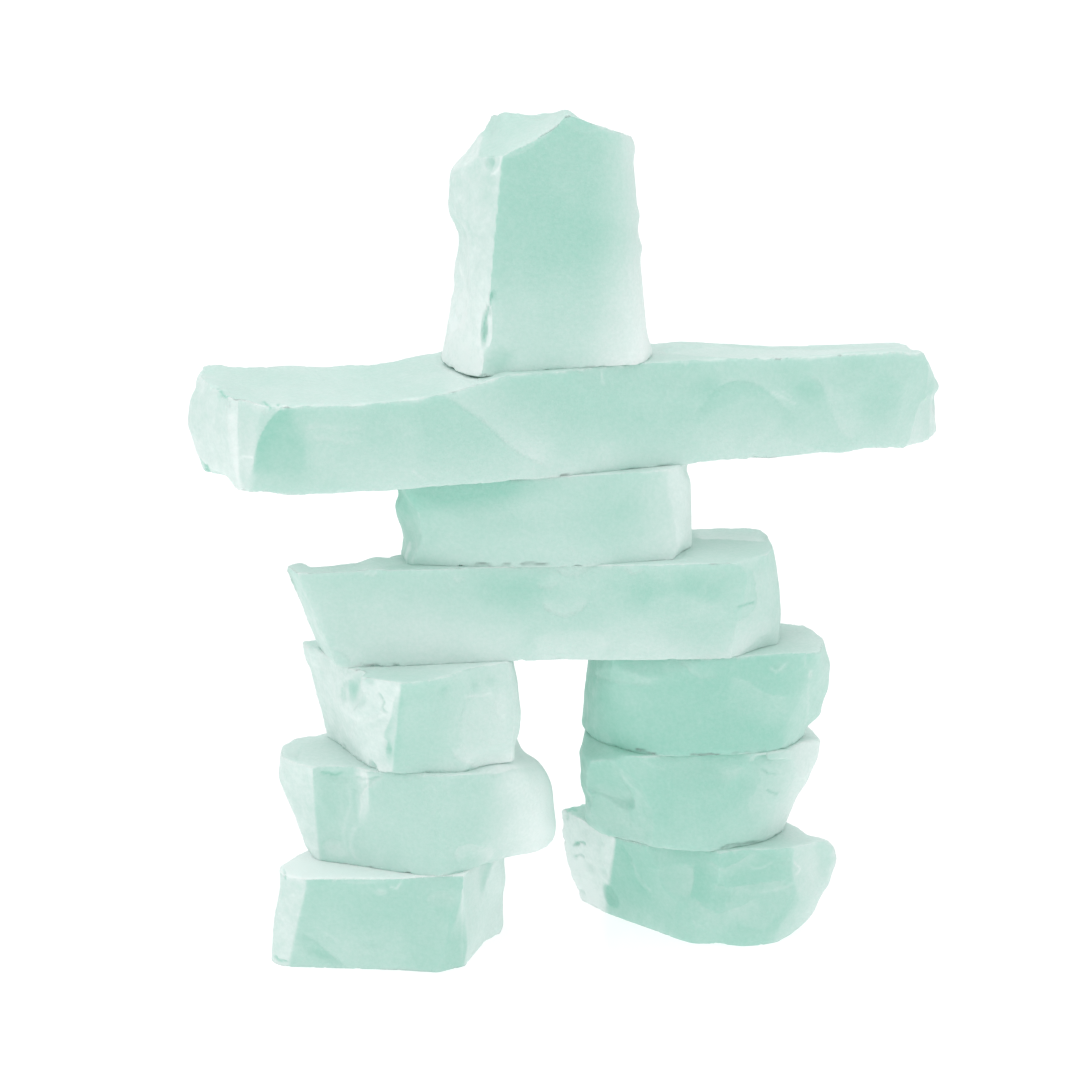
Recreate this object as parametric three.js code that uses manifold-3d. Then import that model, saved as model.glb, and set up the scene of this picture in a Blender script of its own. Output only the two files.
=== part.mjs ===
// An inukshuk: ten split stones stacked dry into a standing figure with outstretched arms.
// Units are millimetres, +Z is up and -Y is the figure's front.
// Left and right are the viewer's, facing the front. The origin is under the middle of the figure.

import * as THREE from "three";
import { mergeVertices } from "three/addons/utils/BufferGeometryUtils.js";
import Module from "manifold-3d";

const wasm = await Module();
wasm.setup();

// Driving sizes of the two legs
const LEG_SPREAD = 86;
const LEG_HEIGHT = 90.6;
const LEFT_FOOT_WIDTH = 66;
const LEFT_FOOT_DEPTH = 44;
const LEFT_FOOT_HEIGHT = 29.5;
const LEFT_KNEE_WIDTH = 80;
const LEFT_KNEE_DEPTH = 44;
const LEFT_KNEE_HEIGHT = 30.5;
const LEFT_THIGH_WIDTH = 58;
const LEFT_THIGH_DEPTH = 44;
const RIGHT_FOOT_WIDTH = 70;
const RIGHT_FOOT_DEPTH = 52;
const RIGHT_FOOT_HEIGHT = 29.5;
const RIGHT_KNEE_WIDTH = 68;
const RIGHT_KNEE_DEPTH = 46;
const RIGHT_KNEE_HEIGHT = 30.5;
const RIGHT_THIGH_WIDTH = 68;
const RIGHT_THIGH_DEPTH = 48;

// Driving sizes of the stones above the legs
const HIP_REACH = 27;
const HIP_DEPTH = 38;
const HIP_HEIGHT = 28;
const CHEST_WIDTH = 86;
const CHEST_DEPTH = 36;
const CHEST_HEIGHT = 25.5;
const ARM_SPAN = 216;
const ARM_DEPTH = 38;
const ARM_HEIGHT = 29.7;
const ARM_RISE_DEGREES = 0.8;
const HEAD_WIDTH = 58;
const HEAD_DEPTH = 36;
const HEAD_HEIGHT = 68;

// The stones lie dry on each other with a hair of air between their beds
const BED_GAP = 0.3;

// How finely the stones are hewn
const BODY_ROWS = 4;
const RIB_STEPS = 3;
const SCOOP_SIDES = 12;
const SCOOP_RINGS = 3;
const SCOOP_OVERREACH = 1.5;

// The finish of the stone
const STONE_COLOUR = 0xb9dfd3;
const STONE_ROUGHNESS = 0.72;

const UP = new THREE.Vector3(0, 0, 1);
const armRise = THREE.MathUtils.degToRad(ARM_RISE_DEGREES);

// The direction that a face looks in: its turn from +X round to +Y, and its rise from level
function facing(turn, rise) {
  const around = THREE.MathUtils.degToRad(turn);
  const above = THREE.MathUtils.degToRad(rise);
  return new THREE.Vector3(
    Math.cos(above) * Math.cos(around),
    Math.cos(above) * Math.sin(around),
    Math.sin(above),
  );
}

// A placing matrix whose Y axis looks the given way and whose X axis stays level, then spins
function faceFrame(position, turn, rise, spin = 0) {
  const out = facing(turn, rise);
  const level = new THREE.Vector3().crossVectors(UP, facing(turn, 0)).normalize();
  level.applyAxisAngle(out, THREE.MathUtils.degToRad(spin));
  const along = new THREE.Vector3().crossVectors(level, out);
  return new THREE.Matrix4().makeBasis(level, out, along).setPosition(position);
}

// A closed geometry becomes a solid that can be joined and cut
function toSolid(geometry) {
  const bare = geometry.clone();
  bare.deleteAttribute("normal");
  bare.deleteAttribute("uv");
  const merged = mergeVertices(bare);
  const corners = merged.index.array;
  const triangles = [];
  for (let i = 0; i < corners.length; i += 3) {
    const [a, b, c] = [corners[i], corners[i + 1], corners[i + 2]];
    if (a !== b && b !== c && c !== a) {
      triangles.push(a, b, c);
    }
  }
  const vertProperties = new Float32Array(merged.attributes.position.array);
  const triVerts = new Uint32Array(triangles);
  return new wasm.Manifold(new wasm.Mesh({ numProp: 3, vertProperties, triVerts }));
}

function toGeometry(solid) {
  const mesh = solid.getMesh();
  const geometry = new THREE.BufferGeometry();
  geometry.setAttribute("position", new THREE.BufferAttribute(mesh.vertProperties, 3));
  geometry.setIndex(new THREE.BufferAttribute(mesh.triVerts, 1));
  geometry.computeVertexNormals();
  return geometry;
}

// The stretch of outline from one rib to the next: straight into a sharp rib, smooth through a soft one
function outlineSpan(points, ribs, index) {
  const count = points.length;
  const before = points[(index + count - 1) % count];
  const start = points[index];
  const end = points[(index + 1) % count];
  const after = points[(index + 2) % count];
  const chord = end.clone().sub(start);
  const leave = ribs[index].sharp ? chord : end.clone().sub(before).divideScalar(2);
  const arrive = ribs[(index + 1) % count].sharp ? chord : after.clone().sub(start).divideScalar(2);
  return new THREE.CubicBezierCurve(
    start,
    start.clone().addScaledVector(leave, 1 / 3),
    end.clone().addScaledVector(arrive, -1 / 3),
    end,
  );
}

// The outline of a stone at a share of the way from its bed to its top
function outlineAt(ribs, share) {
  const points = ribs.map((rib) => {
    const swell = 1 + (rib.belly ?? 0) * 4 * share * (1 - share);
    const bed = new THREE.Vector2(...rib.bed);
    return bed.lerp(new THREE.Vector2(...rib.top), share).multiplyScalar(swell);
  });
  const outline = [];
  points.forEach((point, index) => {
    const span = outlineSpan(points, ribs, index);
    for (let step = 0; step < RIB_STEPS; step += 1) {
      outline.push(span.getPoint(step / RIB_STEPS));
    }
  });
  return outline;
}

// The body of a stone: its bed is level, and its top may be a wedge that rises to the right
function hewBody({ width, depth, height, wedge = 0, ribs }) {
  const sides = ribs.length * RIB_STEPS;
  const positions = [];
  const triangles = [];
  const rows = [];
  for (let row = 0; row <= BODY_ROWS; row += 1) {
    const share = row / BODY_ROWS;
    const outline = outlineAt(ribs, share);
    rows.push(outline);
    outline.forEach((point) => {
      const x = point.x * width;
      positions.push(x, point.y * depth, share * (height + x * Math.tan(wedge)));
    });
  }
  for (let row = 0; row < BODY_ROWS; row += 1) {
    for (let side = 0; side < sides; side += 1) {
      const next = (side + 1) % sides;
      const low = row * sides;
      const high = low + sides;
      triangles.push(low + side, low + next, high + next);
      triangles.push(low + side, high + next, high + side);
    }
  }
  THREE.ShapeUtils.triangulateShape(rows[0], []).forEach(([a, b, c]) => triangles.push(a, c, b));
  const top = BODY_ROWS * sides;
  THREE.ShapeUtils.triangulateShape(rows[BODY_ROWS], [])
    .forEach(([a, b, c]) => triangles.push(top + a, top + b, top + c));
  const body = new THREE.BufferGeometry();
  body.setAttribute("position", new THREE.Float32BufferAttribute(positions, 3));
  body.setIndex(triangles);
  return toSolid(body);
}

// A place in a stone, given as shares of its width, depth and height
function placeIn(stone, [x, y, z]) {
  return new THREE.Vector3(x * stone.width, y * stone.depth, z * stone.height);
}

// A cleft splits off all that lies beyond one flat plane
function cleftCutter(stone, { at, turn, rise }) {
  const size = 3 * Math.max(stone.width, stone.depth, stone.height);
  const block = new THREE.BoxGeometry(size, size, size).translate(0, size / 2, 0);
  return toSolid(block.applyMatrix4(faceFrame(placeIn(stone, at), turn, rise)));
}

// A scoop is the shallow bowl that a blow leaves: broad, tall and deep as shares of the stone's height
function scoopCutter(stone, { at, turn, rise = 0, spin = 0, broad, tall, deep }) {
  const unit = stone.height;
  const profile = [];
  for (let ring = 0; ring <= SCOOP_RINGS; ring += 1) {
    const reach = (SCOOP_OVERREACH * ring) / SCOOP_RINGS;
    profile.push(new THREE.Vector2(reach, deep * unit * (reach * reach - 1)));
  }
  profile.push(new THREE.Vector2(SCOOP_OVERREACH, unit), new THREE.Vector2(0, unit));
  const bowl = new THREE.LatheGeometry(profile, SCOOP_SIDES);
  bowl.scale((broad * unit) / 2, 1, (tall * unit) / 2);
  return toSolid(bowl.applyMatrix4(faceFrame(placeIn(stone, at), turn, rise, spin)));
}

// One finished stone as a named mesh that stands on its own bed
function makeStone(stone) {
  let solid = hewBody(stone);
  (stone.clefts ?? []).forEach((cleft) => {
    solid = solid.subtract(cleftCutter(stone, cleft));
  });
  (stone.scoops ?? []).forEach((scoop) => {
    solid = solid.subtract(scoopCutter(stone, scoop));
  });
  const material = new THREE.MeshStandardMaterial({
    color: STONE_COLOUR,
    roughness: STONE_ROUGHNESS,
    metalness: 0,
    flatShading: true,
  });
  const mesh = new THREE.Mesh(toGeometry(solid), material);
  mesh.name = stone.name;
  return mesh;
}

// Each rib is a corner that climbs the stone, given where it leaves the bed and where it meets the top.
// Its two places are shares of the stone's width and depth, measured from the stone's own middle.
// The ribs run from the left end along the front to the right end, and back along the rear.

const leftFoot = {
  name: "left_foot_stone",
  width: LEFT_FOOT_WIDTH,
  depth: LEFT_FOOT_DEPTH,
  height: LEFT_FOOT_HEIGHT,
  shift: [-0.08, 0.07],
  ribs: [
    { bed: [-0.51, -0.08], top: [-0.48, -0.21] },
    { bed: [-0.46, -0.18], top: [-0.37, -0.35], sharp: true },
    { bed: [-0.1, -0.34], top: [-0.04, -0.44] },
    { bed: [0.17, -0.48], top: [0.28, -0.52], sharp: true },
    { bed: [0.3, -0.42], top: [0.41, -0.33], sharp: true },
    { bed: [0.44, -0.05], top: [0.48, -0.22] },
    { bed: [0.53, 0.08], top: [0.53, -0.03] },
    { bed: [0.53, 0.4], top: [0.48, 0.34] },
    { bed: [0.05, 0.52], top: [0.06, 0.43] },
    { bed: [-0.3, 0.43], top: [-0.27, 0.2] },
    { bed: [-0.48, 0.11], top: [-0.44, 0] },
  ],
  scoops: [
    { at: [-0.05, -0.45, 0.1], turn: 256, rise: -10, broad: 1.9, tall: 1.3, deep: 0.07 },
    { at: [-0.2, -0.42, 1], turn: 258, broad: 1.5, tall: 1.6, deep: 0.05 },
    { at: [0.2, -0.5, 1], turn: 262, spin: 15, broad: 0.9, tall: 1.4, deep: 0.05 },
    { at: [0.36, -0.38, 0.5], turn: 315, broad: 0.5, tall: 2, deep: 0.05 },
    { at: [0.1, 0.5, 0.5], turn: 88, broad: 2, tall: 1.8, deep: 0.12 },
  ],
};

const leftKnee = {
  name: "left_knee_stone",
  width: LEFT_KNEE_WIDTH,
  depth: LEFT_KNEE_DEPTH,
  height: LEFT_KNEE_HEIGHT,
  shift: [0.06, 0.07],
  ribs: [
    { bed: [-0.385, 0.05], top: [-0.485, 0.08], belly: 0.05 },
    { bed: [-0.375, -0.04], top: [-0.39, -0.19], sharp: true },
    { bed: [-0.23, -0.2], top: [-0.28, -0.25] },
    { bed: [0.04, -0.48], top: [0.05, -0.5] },
    { bed: [0.29, -0.27], top: [0.28, -0.43], belly: 0.1 },
    { bed: [0.415, -0.2], top: [0.35, -0.27], belly: 0.1 },
    { bed: [0.48, 0], top: [0.385, -0.04], belly: 0.13 },
    { bed: [0.45, 0.39], top: [0.34, 0.36], belly: 0.08 },
    { bed: [0.03, 0.5], top: [0, 0.5] },
    { bed: [-0.36, 0.3], top: [-0.42, 0.38] },
  ],
  clefts: [
    { at: [0.34, 0, 1], turn: -10, rise: 62 },
  ],
  scoops: [
    { at: [-0.33, -0.2, 0.5], turn: 262, broad: 0.45, tall: 2.2, deep: 0.05 },
    { at: [-0.46, 0.02, 0], turn: 205, rise: -20, broad: 0.8, tall: 1.1, deep: 0.09 },
    { at: [0.28, -0.42, 0], turn: 290, rise: -25, broad: 1.3, tall: 0.8, deep: 0.12 },
    { at: [-0.08, -0.46, 1], turn: 245, rise: 20, broad: 1, tall: 0.7, deep: 0.08 },
    { at: [0.05, -0.52, 0.55], turn: 266, broad: 1.9, tall: 1.9, deep: 0.04 },
    { at: [0.1, 0.5, 0.5], turn: 92, broad: 2.2, tall: 1.8, deep: 0.1 },
  ],
};

const leftThigh = {
  name: "left_thigh_stone",
  width: LEFT_THIGH_WIDTH,
  depth: LEFT_THIGH_DEPTH,
  height: LEG_HEIGHT - LEFT_FOOT_HEIGHT - LEFT_KNEE_HEIGHT - 2 * BED_GAP,
  shift: [0.07, 0.07],
  ribs: [
    { bed: [-0.26, -0.25], top: [-0.39, -0.34] },
    { bed: [-0.17, -0.4], top: [-0.14, -0.62], sharp: true },
    { bed: [0.03, -0.44], top: [-0.02, -0.61] },
    { bed: [0.29, -0.48], top: [0.26, -0.44] },
    { bed: [0.45, -0.33], top: [0.43, -0.35], belly: 0.08 },
    { bed: [0.47, 0.2], top: [0.43, 0.16] },
    { bed: [0.09, 0.5], top: [0.05, 0.45] },
    { bed: [-0.4, 0.39], top: [-0.51, 0.32], sharp: true },
  ],
  scoops: [
    { at: [-0.34, -0.33, 0.8], turn: 200, broad: 0.36, tall: 0.34, deep: 0.06 },
    { at: [-0.42, -0.05, 0.4], turn: 200, broad: 1.1, tall: 2, deep: 0.06 },
    { at: [-0.17, -0.48, 0], turn: 240, rise: -20, broad: 0.5, tall: 0.9, deep: 0.1 },
    { at: [0.34, -0.46, 0], turn: 285, rise: -20, broad: 1, tall: 0.9, deep: 0.11 },
    { at: [0.3, -0.45, 1], turn: 285, rise: 10, broad: 0.7, tall: 1.2, deep: 0.07 },
    { at: [0.1, 0.48, 0.5], turn: 88, broad: 1.7, tall: 1.8, deep: 0.1 },
  ],
};

const rightFoot = {
  name: "right_foot_stone",
  width: RIGHT_FOOT_WIDTH,
  depth: RIGHT_FOOT_DEPTH,
  height: RIGHT_FOOT_HEIGHT,
  shift: [0.03, 0.115],
  ribs: [
    { bed: [-0.43, 0.37], top: [-0.51, 0.4], belly: 0.05, sharp: true },
    { bed: [-0.36, 0.16], top: [-0.36, -0.11], sharp: true },
    { bed: [-0.21, -0.13], top: [-0.19, -0.34] },
    { bed: [-0.09, -0.35], top: [-0.07, -0.42] },
    { bed: [0.04, -0.45], top: [0.08, -0.47] },
    { bed: [0.27, -0.45], top: [0.33, -0.45], belly: 0.04 },
    { bed: [0.41, -0.2], top: [0.52, -0.46], belly: 0.1 },
    { bed: [0.42, 0.08], top: [0.45, -0.28], belly: 0.1 },
    { bed: [0.27, 0.37], top: [0.38, -0.04] },
    { bed: [-0.1, 0.5], top: [-0.13, 0.48] },
  ],
  scoops: [
    { at: [-0.1, -0.36, 1], turn: 240, spin: -12, broad: 0.8, tall: 1.5, deep: 0.06 },
    { at: [0.16, -0.47, 1], turn: 265, spin: 15, broad: 0.8, tall: 1.6, deep: 0.07 },
    { at: [0.38, -0.46, 1], turn: 292, spin: 20, broad: 0.7, tall: 1.6, deep: 0.06 },
    { at: [0.02, -0.45, 0], turn: 250, rise: -15, broad: 1.2, tall: 0.9, deep: 0.07 },
    { at: [0.1, 0.46, 0.5], turn: 80, broad: 2, tall: 1.8, deep: 0.12 },
  ],
};

const rightKnee = {
  name: "right_knee_stone",
  width: RIGHT_KNEE_WIDTH,
  depth: RIGHT_KNEE_DEPTH,
  height: RIGHT_KNEE_HEIGHT,
  shift: [0, 0.11],
  ribs: [
    { bed: [-0.42, 0.11], top: [-0.47, -0.1], belly: 0.07 },
    { bed: [-0.32, -0.19], top: [-0.43, -0.34], belly: 0.08 },
    { bed: [-0.06, -0.43], top: [-0.19, -0.49] },
    { bed: [0.1, -0.44], top: [0.07, -0.54] },
    { bed: [0.28, -0.36], top: [0.34, -0.52] },
    { bed: [0.41, -0.13], top: [0.53, -0.33], belly: -0.01 },
    { bed: [0.38, 0.2], top: [0.48, 0.07] },
    { bed: [0.19, 0.46], top: [0.22, 0.41] },
    { bed: [-0.13, 0.5], top: [-0.16, 0.48] },
    { bed: [-0.38, 0.37], top: [-0.4, 0.28] },
  ],
  clefts: [
    { at: [-0.46, -0.15, 0.92], turn: 200, rise: 50 },
    { at: [0.52, -0.33, 0.92], turn: -20, rise: 50 },
  ],
  scoops: [
    { at: [-0.34, -0.2, 0.1], turn: 228, rise: -12, broad: 1, tall: 1.3, deep: 0.09 },
    { at: [0.02, -0.52, 1], turn: 262, broad: 1.6, tall: 1.6, deep: 0.05 },
    { at: [0.22, -0.46, 0], turn: 280, broad: 1, tall: 1.3, deep: 0.05 },
    { at: [0.43, -0.42, 0.7], turn: 312, broad: 0.9, tall: 2, deep: 0.06 },
    { at: [0, 0.5, 0.5], turn: 95, broad: 2, tall: 1.8, deep: 0.1 },
  ],
};

const rightThigh = {
  name: "right_thigh_stone",
  width: RIGHT_THIGH_WIDTH,
  depth: RIGHT_THIGH_DEPTH,
  height: LEG_HEIGHT - RIGHT_FOOT_HEIGHT - RIGHT_KNEE_HEIGHT - 2 * BED_GAP,
  shift: [0, 0.04],
  ribs: [
    { bed: [-0.45, 0.08], top: [-0.41, -0.04], belly: 0.06 },
    { bed: [-0.39, -0.14], top: [-0.41, -0.35], belly: 0.05 },
    { bed: [-0.24, -0.36], top: [-0.22, -0.44] },
    { bed: [0.03, -0.45], top: [0.1, -0.54] },
    { bed: [0.31, -0.42], top: [0.34, -0.54] },
    { bed: [0.46, -0.21], top: [0.45, -0.5], belly: 0.05, sharp: true },
    { bed: [0.47, -0.12], top: [0.51, -0.3], belly: 0.12 },
    { bed: [0.44, 0.2], top: [0.5, -0.06], belly: 0.04 },
    { bed: [0.26, 0.46], top: [0.38, 0.1] },
    { bed: [-0.1, 0.52], top: [-0.1, 0.44] },
    { bed: [-0.4, 0.38], top: [-0.38, 0.3] },
  ],
  scoops: [
    { at: [-0.12, -0.5, 1], turn: 250, rise: 10, broad: 1.7, tall: 1, deep: 0.08 },
    { at: [0.2, -0.53, 1], turn: 270, rise: 10, broad: 1.2, tall: 0.8, deep: 0.06 },
    { at: [0.12, -0.5, 0.2], turn: 264, broad: 2, tall: 1.4, deep: 0.04 },
    { at: [0.42, -0.38, 0], turn: 300, rise: -20, broad: 0.9, tall: 1, deep: 0.09 },
    { at: [-0.4, -0.2, 0], turn: 220, rise: -20, broad: 0.9, tall: 0.8, deep: 0.08 },
    { at: [0.53, -0.1, 1], turn: 10, rise: 45, broad: 0.8, tall: 0.4, deep: 0.1 },
    { at: [0, 0.5, 0.5], turn: 92, broad: 2, tall: 1.8, deep: 0.1 },
  ],
};

const hips = {
  name: "hip_stone",
  width: LEG_SPREAD + 2 * HIP_REACH,
  depth: HIP_DEPTH,
  height: HIP_HEIGHT,
  shift: [-0.036, -0.05],
  ribs: [
    { bed: [-0.41, -0.2], top: [-0.485, -0.2], sharp: true },
    { bed: [-0.065, -0.28], top: [-0.135, -0.3] },
    { bed: [0.25, -0.5], top: [0.18, -0.47] },
    { bed: [0.365, -0.57], top: [0.41, -0.585], sharp: true },
    { bed: [0.49, -0.3], top: [0.475, -0.28], belly: 0.02 },
    { bed: [0.5, 0.18], top: [0.49, 0.24] },
    { bed: [0.365, 0.5], top: [0.35, 0.37] },
    { bed: [0.035, 0.55], top: [0.02, 0.45] },
    { bed: [-0.28, 0.53], top: [-0.26, 0.16] },
    { bed: [-0.38, 0.5], top: [-0.375, 0.04] },
    { bed: [-0.43, 0.37], top: [-0.503, 0.04], sharp: true },
  ],
  scoops: [
    { at: [-0.48, -0.05, 0.5], turn: 190, rise: -20, broad: 1.2, tall: 2, deep: 0.07 },
    { at: [-0.2, -0.3, 0.3], turn: 262, broad: 3.6, tall: 1.9, deep: 0.06 },
    { at: [0.2, -0.5, 0.2], turn: 263, broad: 2.4, tall: 1.7, deep: 0.05 },
    { at: [0.46, -0.45, 0], turn: 300, rise: -15, broad: 1.3, tall: 1.5, deep: 0.12 },
    { at: [0.43, -0.52, 1], turn: 300, rise: 30, broad: 1.3, tall: 0.6, deep: 0.08 },
    { at: [-0.1, 0.5, 0.6], turn: 95, rise: 15, broad: 3.4, tall: 2, deep: 0.1 },
    { at: [0.3, 0.48, 0.4], turn: 85, broad: 2, tall: 1.8, deep: 0.1 },
  ],
};

const chest = {
  name: "chest_stone",
  width: CHEST_WIDTH,
  depth: CHEST_DEPTH,
  height: CHEST_HEIGHT,
  wedge: armRise,
  shift: [-0.02, 0],
  ribs: [
    { bed: [-0.47, -0.11], top: [-0.49, -0.15], belly: 0.02 },
    { bed: [-0.46, -0.18], top: [-0.46, -0.38] },
    { bed: [-0.2, -0.38], top: [-0.21, -0.44] },
    { bed: [0.07, -0.5], top: [0.08, -0.46] },
    { bed: [0.36, -0.51], top: [0.37, -0.46] },
    { bed: [0.46, -0.34], top: [0.46, -0.24] },
    { bed: [0.49, 0.03], top: [0.49, 0.1] },
    { bed: [0.44, 0.42], top: [0.44, 0.44] },
    { bed: [0.02, 0.53], top: [0.02, 0.56] },
    { bed: [-0.37, 0.47], top: [-0.37, 0.47] },
    { bed: [-0.47, 0.28], top: [-0.48, 0.28] },
  ],
  scoops: [
    { at: [-0.48, -0.15, 0.3], turn: 205, broad: 1.1, tall: 0.8, deep: 0.08 },
    { at: [-0.12, -0.46, 0.5], turn: 262, broad: 2.4, tall: 1.9, deep: 0.05 },
    { at: [0.28, -0.5, 0.4], turn: 272, broad: 1.6, tall: 1.8, deep: 0.05 },
    { at: [0.46, -0.34, 0], turn: 320, rise: -25, broad: 1, tall: 0.8, deep: 0.1 },
    { at: [0, 0.54, 0.5], turn: 90, broad: 3, tall: 1.8, deep: 0.12 },
  ],
};

const arms = {
  name: "arm_stone",
  width: ARM_SPAN,
  depth: ARM_DEPTH,
  height: ARM_HEIGHT,
  wedge: -armRise,
  shift: [0.042, 0],
  ribs: [
    { bed: [-0.468, 0.08], top: [-0.476, 0.05], belly: 0.05 },
    { bed: [-0.451, -0.37], top: [-0.453, -0.47], sharp: true },
    { bed: [-0.442, -0.43], top: [-0.398, -0.54], sharp: true },
    { bed: [-0.25, -0.48], top: [-0.3, -0.56] },
    { bed: [-0.055, -0.45], top: [-0.208, -0.56], sharp: true },
    { bed: [0.051, -0.37], top: [0.005, -0.45] },
    { bed: [0.167, -0.32], top: [0.13, -0.4] },
    { bed: [0.264, -0.29], top: [0.273, -0.43] },
    { bed: [0.375, -0.26], top: [0.384, -0.43] },
    { bed: [0.44, -0.18], top: [0.454, -0.3] },
    { bed: [0.495, 0.08], top: [0.49, 0.02] },
    { bed: [0.495, 0.35], top: [0.46, 0.25] },
    { bed: [0.4, 0.5], top: [0.375, 0.32] },
    { bed: [0.1, 0.5], top: [0.116, 0.38] },
    { bed: [-0.22, 0.5], top: [-0.22, 0.38] },
    { bed: [-0.43, 0.48], top: [-0.43, 0.42] },
    { bed: [-0.464, 0.32], top: [-0.472, 0.38], belly: 0.045 },
  ],
  clefts: [
    { at: [-0.4, 0, 0], turn: 180, rise: -80 },
    { at: [0.462, 0, 0.86], turn: 0, rise: 33 },
  ],
  scoops: [
    { at: [-0.31, -0.5, 1], turn: 270, rise: 90, broad: 2.9, tall: 3.4, deep: 0.17 },
    { at: [0.42, 0.5, 1], turn: 270, rise: 90, broad: 4.6, tall: 2.2, deep: 0.17 },
    { at: [-0.33, -0.54, 0.5], turn: 268, broad: 1.6, tall: 2.1, deep: 0.05 },
    { at: [-0.09, -0.49, 0.76], turn: 277, spin: 59, broad: 0.75, tall: 1.6, deep: 0.045 },
    { at: [0.09, -0.42, 1], turn: 275, rise: 10, broad: 2.4, tall: 1.5, deep: 0.12 },
    { at: [0.22, -0.4, 1], turn: 272, broad: 1.1, tall: 0.9, deep: 0.08 },
    { at: [0.32, -0.44, 1], turn: 276, broad: 1.2, tall: 1.9, deep: 0.1 },
    { at: [0.43, -0.36, 0.7], turn: 285, broad: 1.3, tall: 2, deep: 0.06 },
    { at: [-0.47, 0.1, 0.04], turn: 200, rise: -30, broad: 0.9, tall: 0.5, deep: 0.06 },
    { at: [-0.05, 0.5, 0.5], turn: 90, broad: 3.6, tall: 2, deep: 0.12 },
    { at: [0.32, 0.5, 0.4], turn: 94, broad: 2.4, tall: 2, deep: 0.12 },
    { at: [-0.36, 0.5, 0.5], turn: 92, broad: 2, tall: 2, deep: 0.08 },
  ],
};

const head = {
  name: "head_stone",
  width: HEAD_WIDTH,
  depth: HEAD_DEPTH,
  height: HEAD_HEIGHT,
  shift: [0, 0],
  ribs: [
    { bed: [-0.475, 0.22], top: [-0.4, 0.16] },
    { bed: [-0.415, -0.19], top: [-0.335, -0.17] },
    { bed: [-0.35, -0.41], top: [-0.225, -0.4], sharp: true },
    { bed: [0.09, -0.445], top: [0.05, -0.415] },
    { bed: [0.345, -0.43], top: [0.29, -0.39] },
    { bed: [0.475, -0.235], top: [0.37, -0.24] },
    { bed: [0.52, 0.17], top: [0.4, -0.06] },
    { bed: [0.4, 0.47], top: [0.34, 0.14] },
    { bed: [-0.345, 0.47], top: [-0.3, 0.22] },
  ],
  clefts: [
    { at: [-0.43, 0, 0.74], turn: 180, rise: 33 },
    { at: [0.07, 0.11, 0.985], turn: 20, rise: 70.5 },
    { at: [-0.035, -0.36, 0.966], turn: 207, rise: 60 },
  ],
  scoops: [
    { at: [-0.43, 0.12, 0.4], turn: 184, broad: 0.55, tall: 0.5, deep: 0.056 },
    { at: [-0.34, -0.4, 0.2], turn: 225, broad: 0.09, tall: 0.26, deep: 0.03 },
    { at: [-0.1, 0.2, 1], turn: 90, rise: 60, broad: 0.26, tall: 0.3, deep: 0.03 },
    { at: [0.15, -0.44, 0], turn: 272, broad: 1, tall: 1, deep: 0.02 },
    { at: [0, 0.42, 0.45], turn: 90, rise: 8, broad: 1, tall: 1.3, deep: 0.06 },
  ],
};

// Stones stacked one on the next, each at its own shift from the line of the stack
function stack(stones, lineX) {
  const group = new THREE.Group();
  let bedHeight = 0;
  stones.forEach((stone) => {
    const mesh = makeStone(stone);
    const [alongX, alongY] = stone.shift;
    mesh.position.set(lineX + alongX * stone.width, alongY * stone.depth, bedHeight);
    group.add(mesh);
    bedHeight += stone.height + BED_GAP;
  });
  return group;
}

// The legs stand level with each other, and the trunk rests across both
const legs = new THREE.Group();
legs.add(stack([leftFoot, leftKnee, leftThigh], -LEG_SPREAD / 2));
legs.add(stack([rightFoot, rightKnee, rightThigh], LEG_SPREAD / 2));

const trunk = stack([hips, chest], 0);
trunk.position.z = LEG_HEIGHT + BED_GAP;

// The arms lie on the sloping top of the chest, at its middle
const armSeat = new THREE.Group();
armSeat.position.set(chest.shift[0] * chest.width, 0, HIP_HEIGHT + CHEST_HEIGHT + 2 * BED_GAP);
armSeat.rotation.y = -armRise;
armSeat.add(stack([arms], 0));
trunk.add(armSeat);

// The arms taper back to level, so the head stands upright
const headSeat = new THREE.Group();
headSeat.position.set(arms.shift[0] * arms.width, 0, ARM_HEIGHT + BED_GAP);
headSeat.rotation.y = armRise;
headSeat.add(stack([head], -arms.shift[0] * arms.width));
armSeat.add(headSeat);

const figure = new THREE.Group();
figure.add(legs, trunk);
figure.updateMatrixWorld(true);
const reach = new THREE.Box3().setFromObject(figure, true);
figure.position.set(-(reach.min.x + reach.max.x) / 2, -(reach.min.y + reach.max.y) / 2, 0);

export default figure;
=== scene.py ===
"""An inukshuk of ten split stones, dressed in chipped, cloudy pale green stone.

Lengths are in metres in Blender and in millimetres in the numbers below that say so.
Left and right are the viewer's, facing the figure's front, which looks along -Y.
"""

import math
from itertools import product
from typing import NamedTuple

import bmesh
import bpy
import numpy as np
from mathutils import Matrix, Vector
from mathutils.bvhtree import BVHTree


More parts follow.
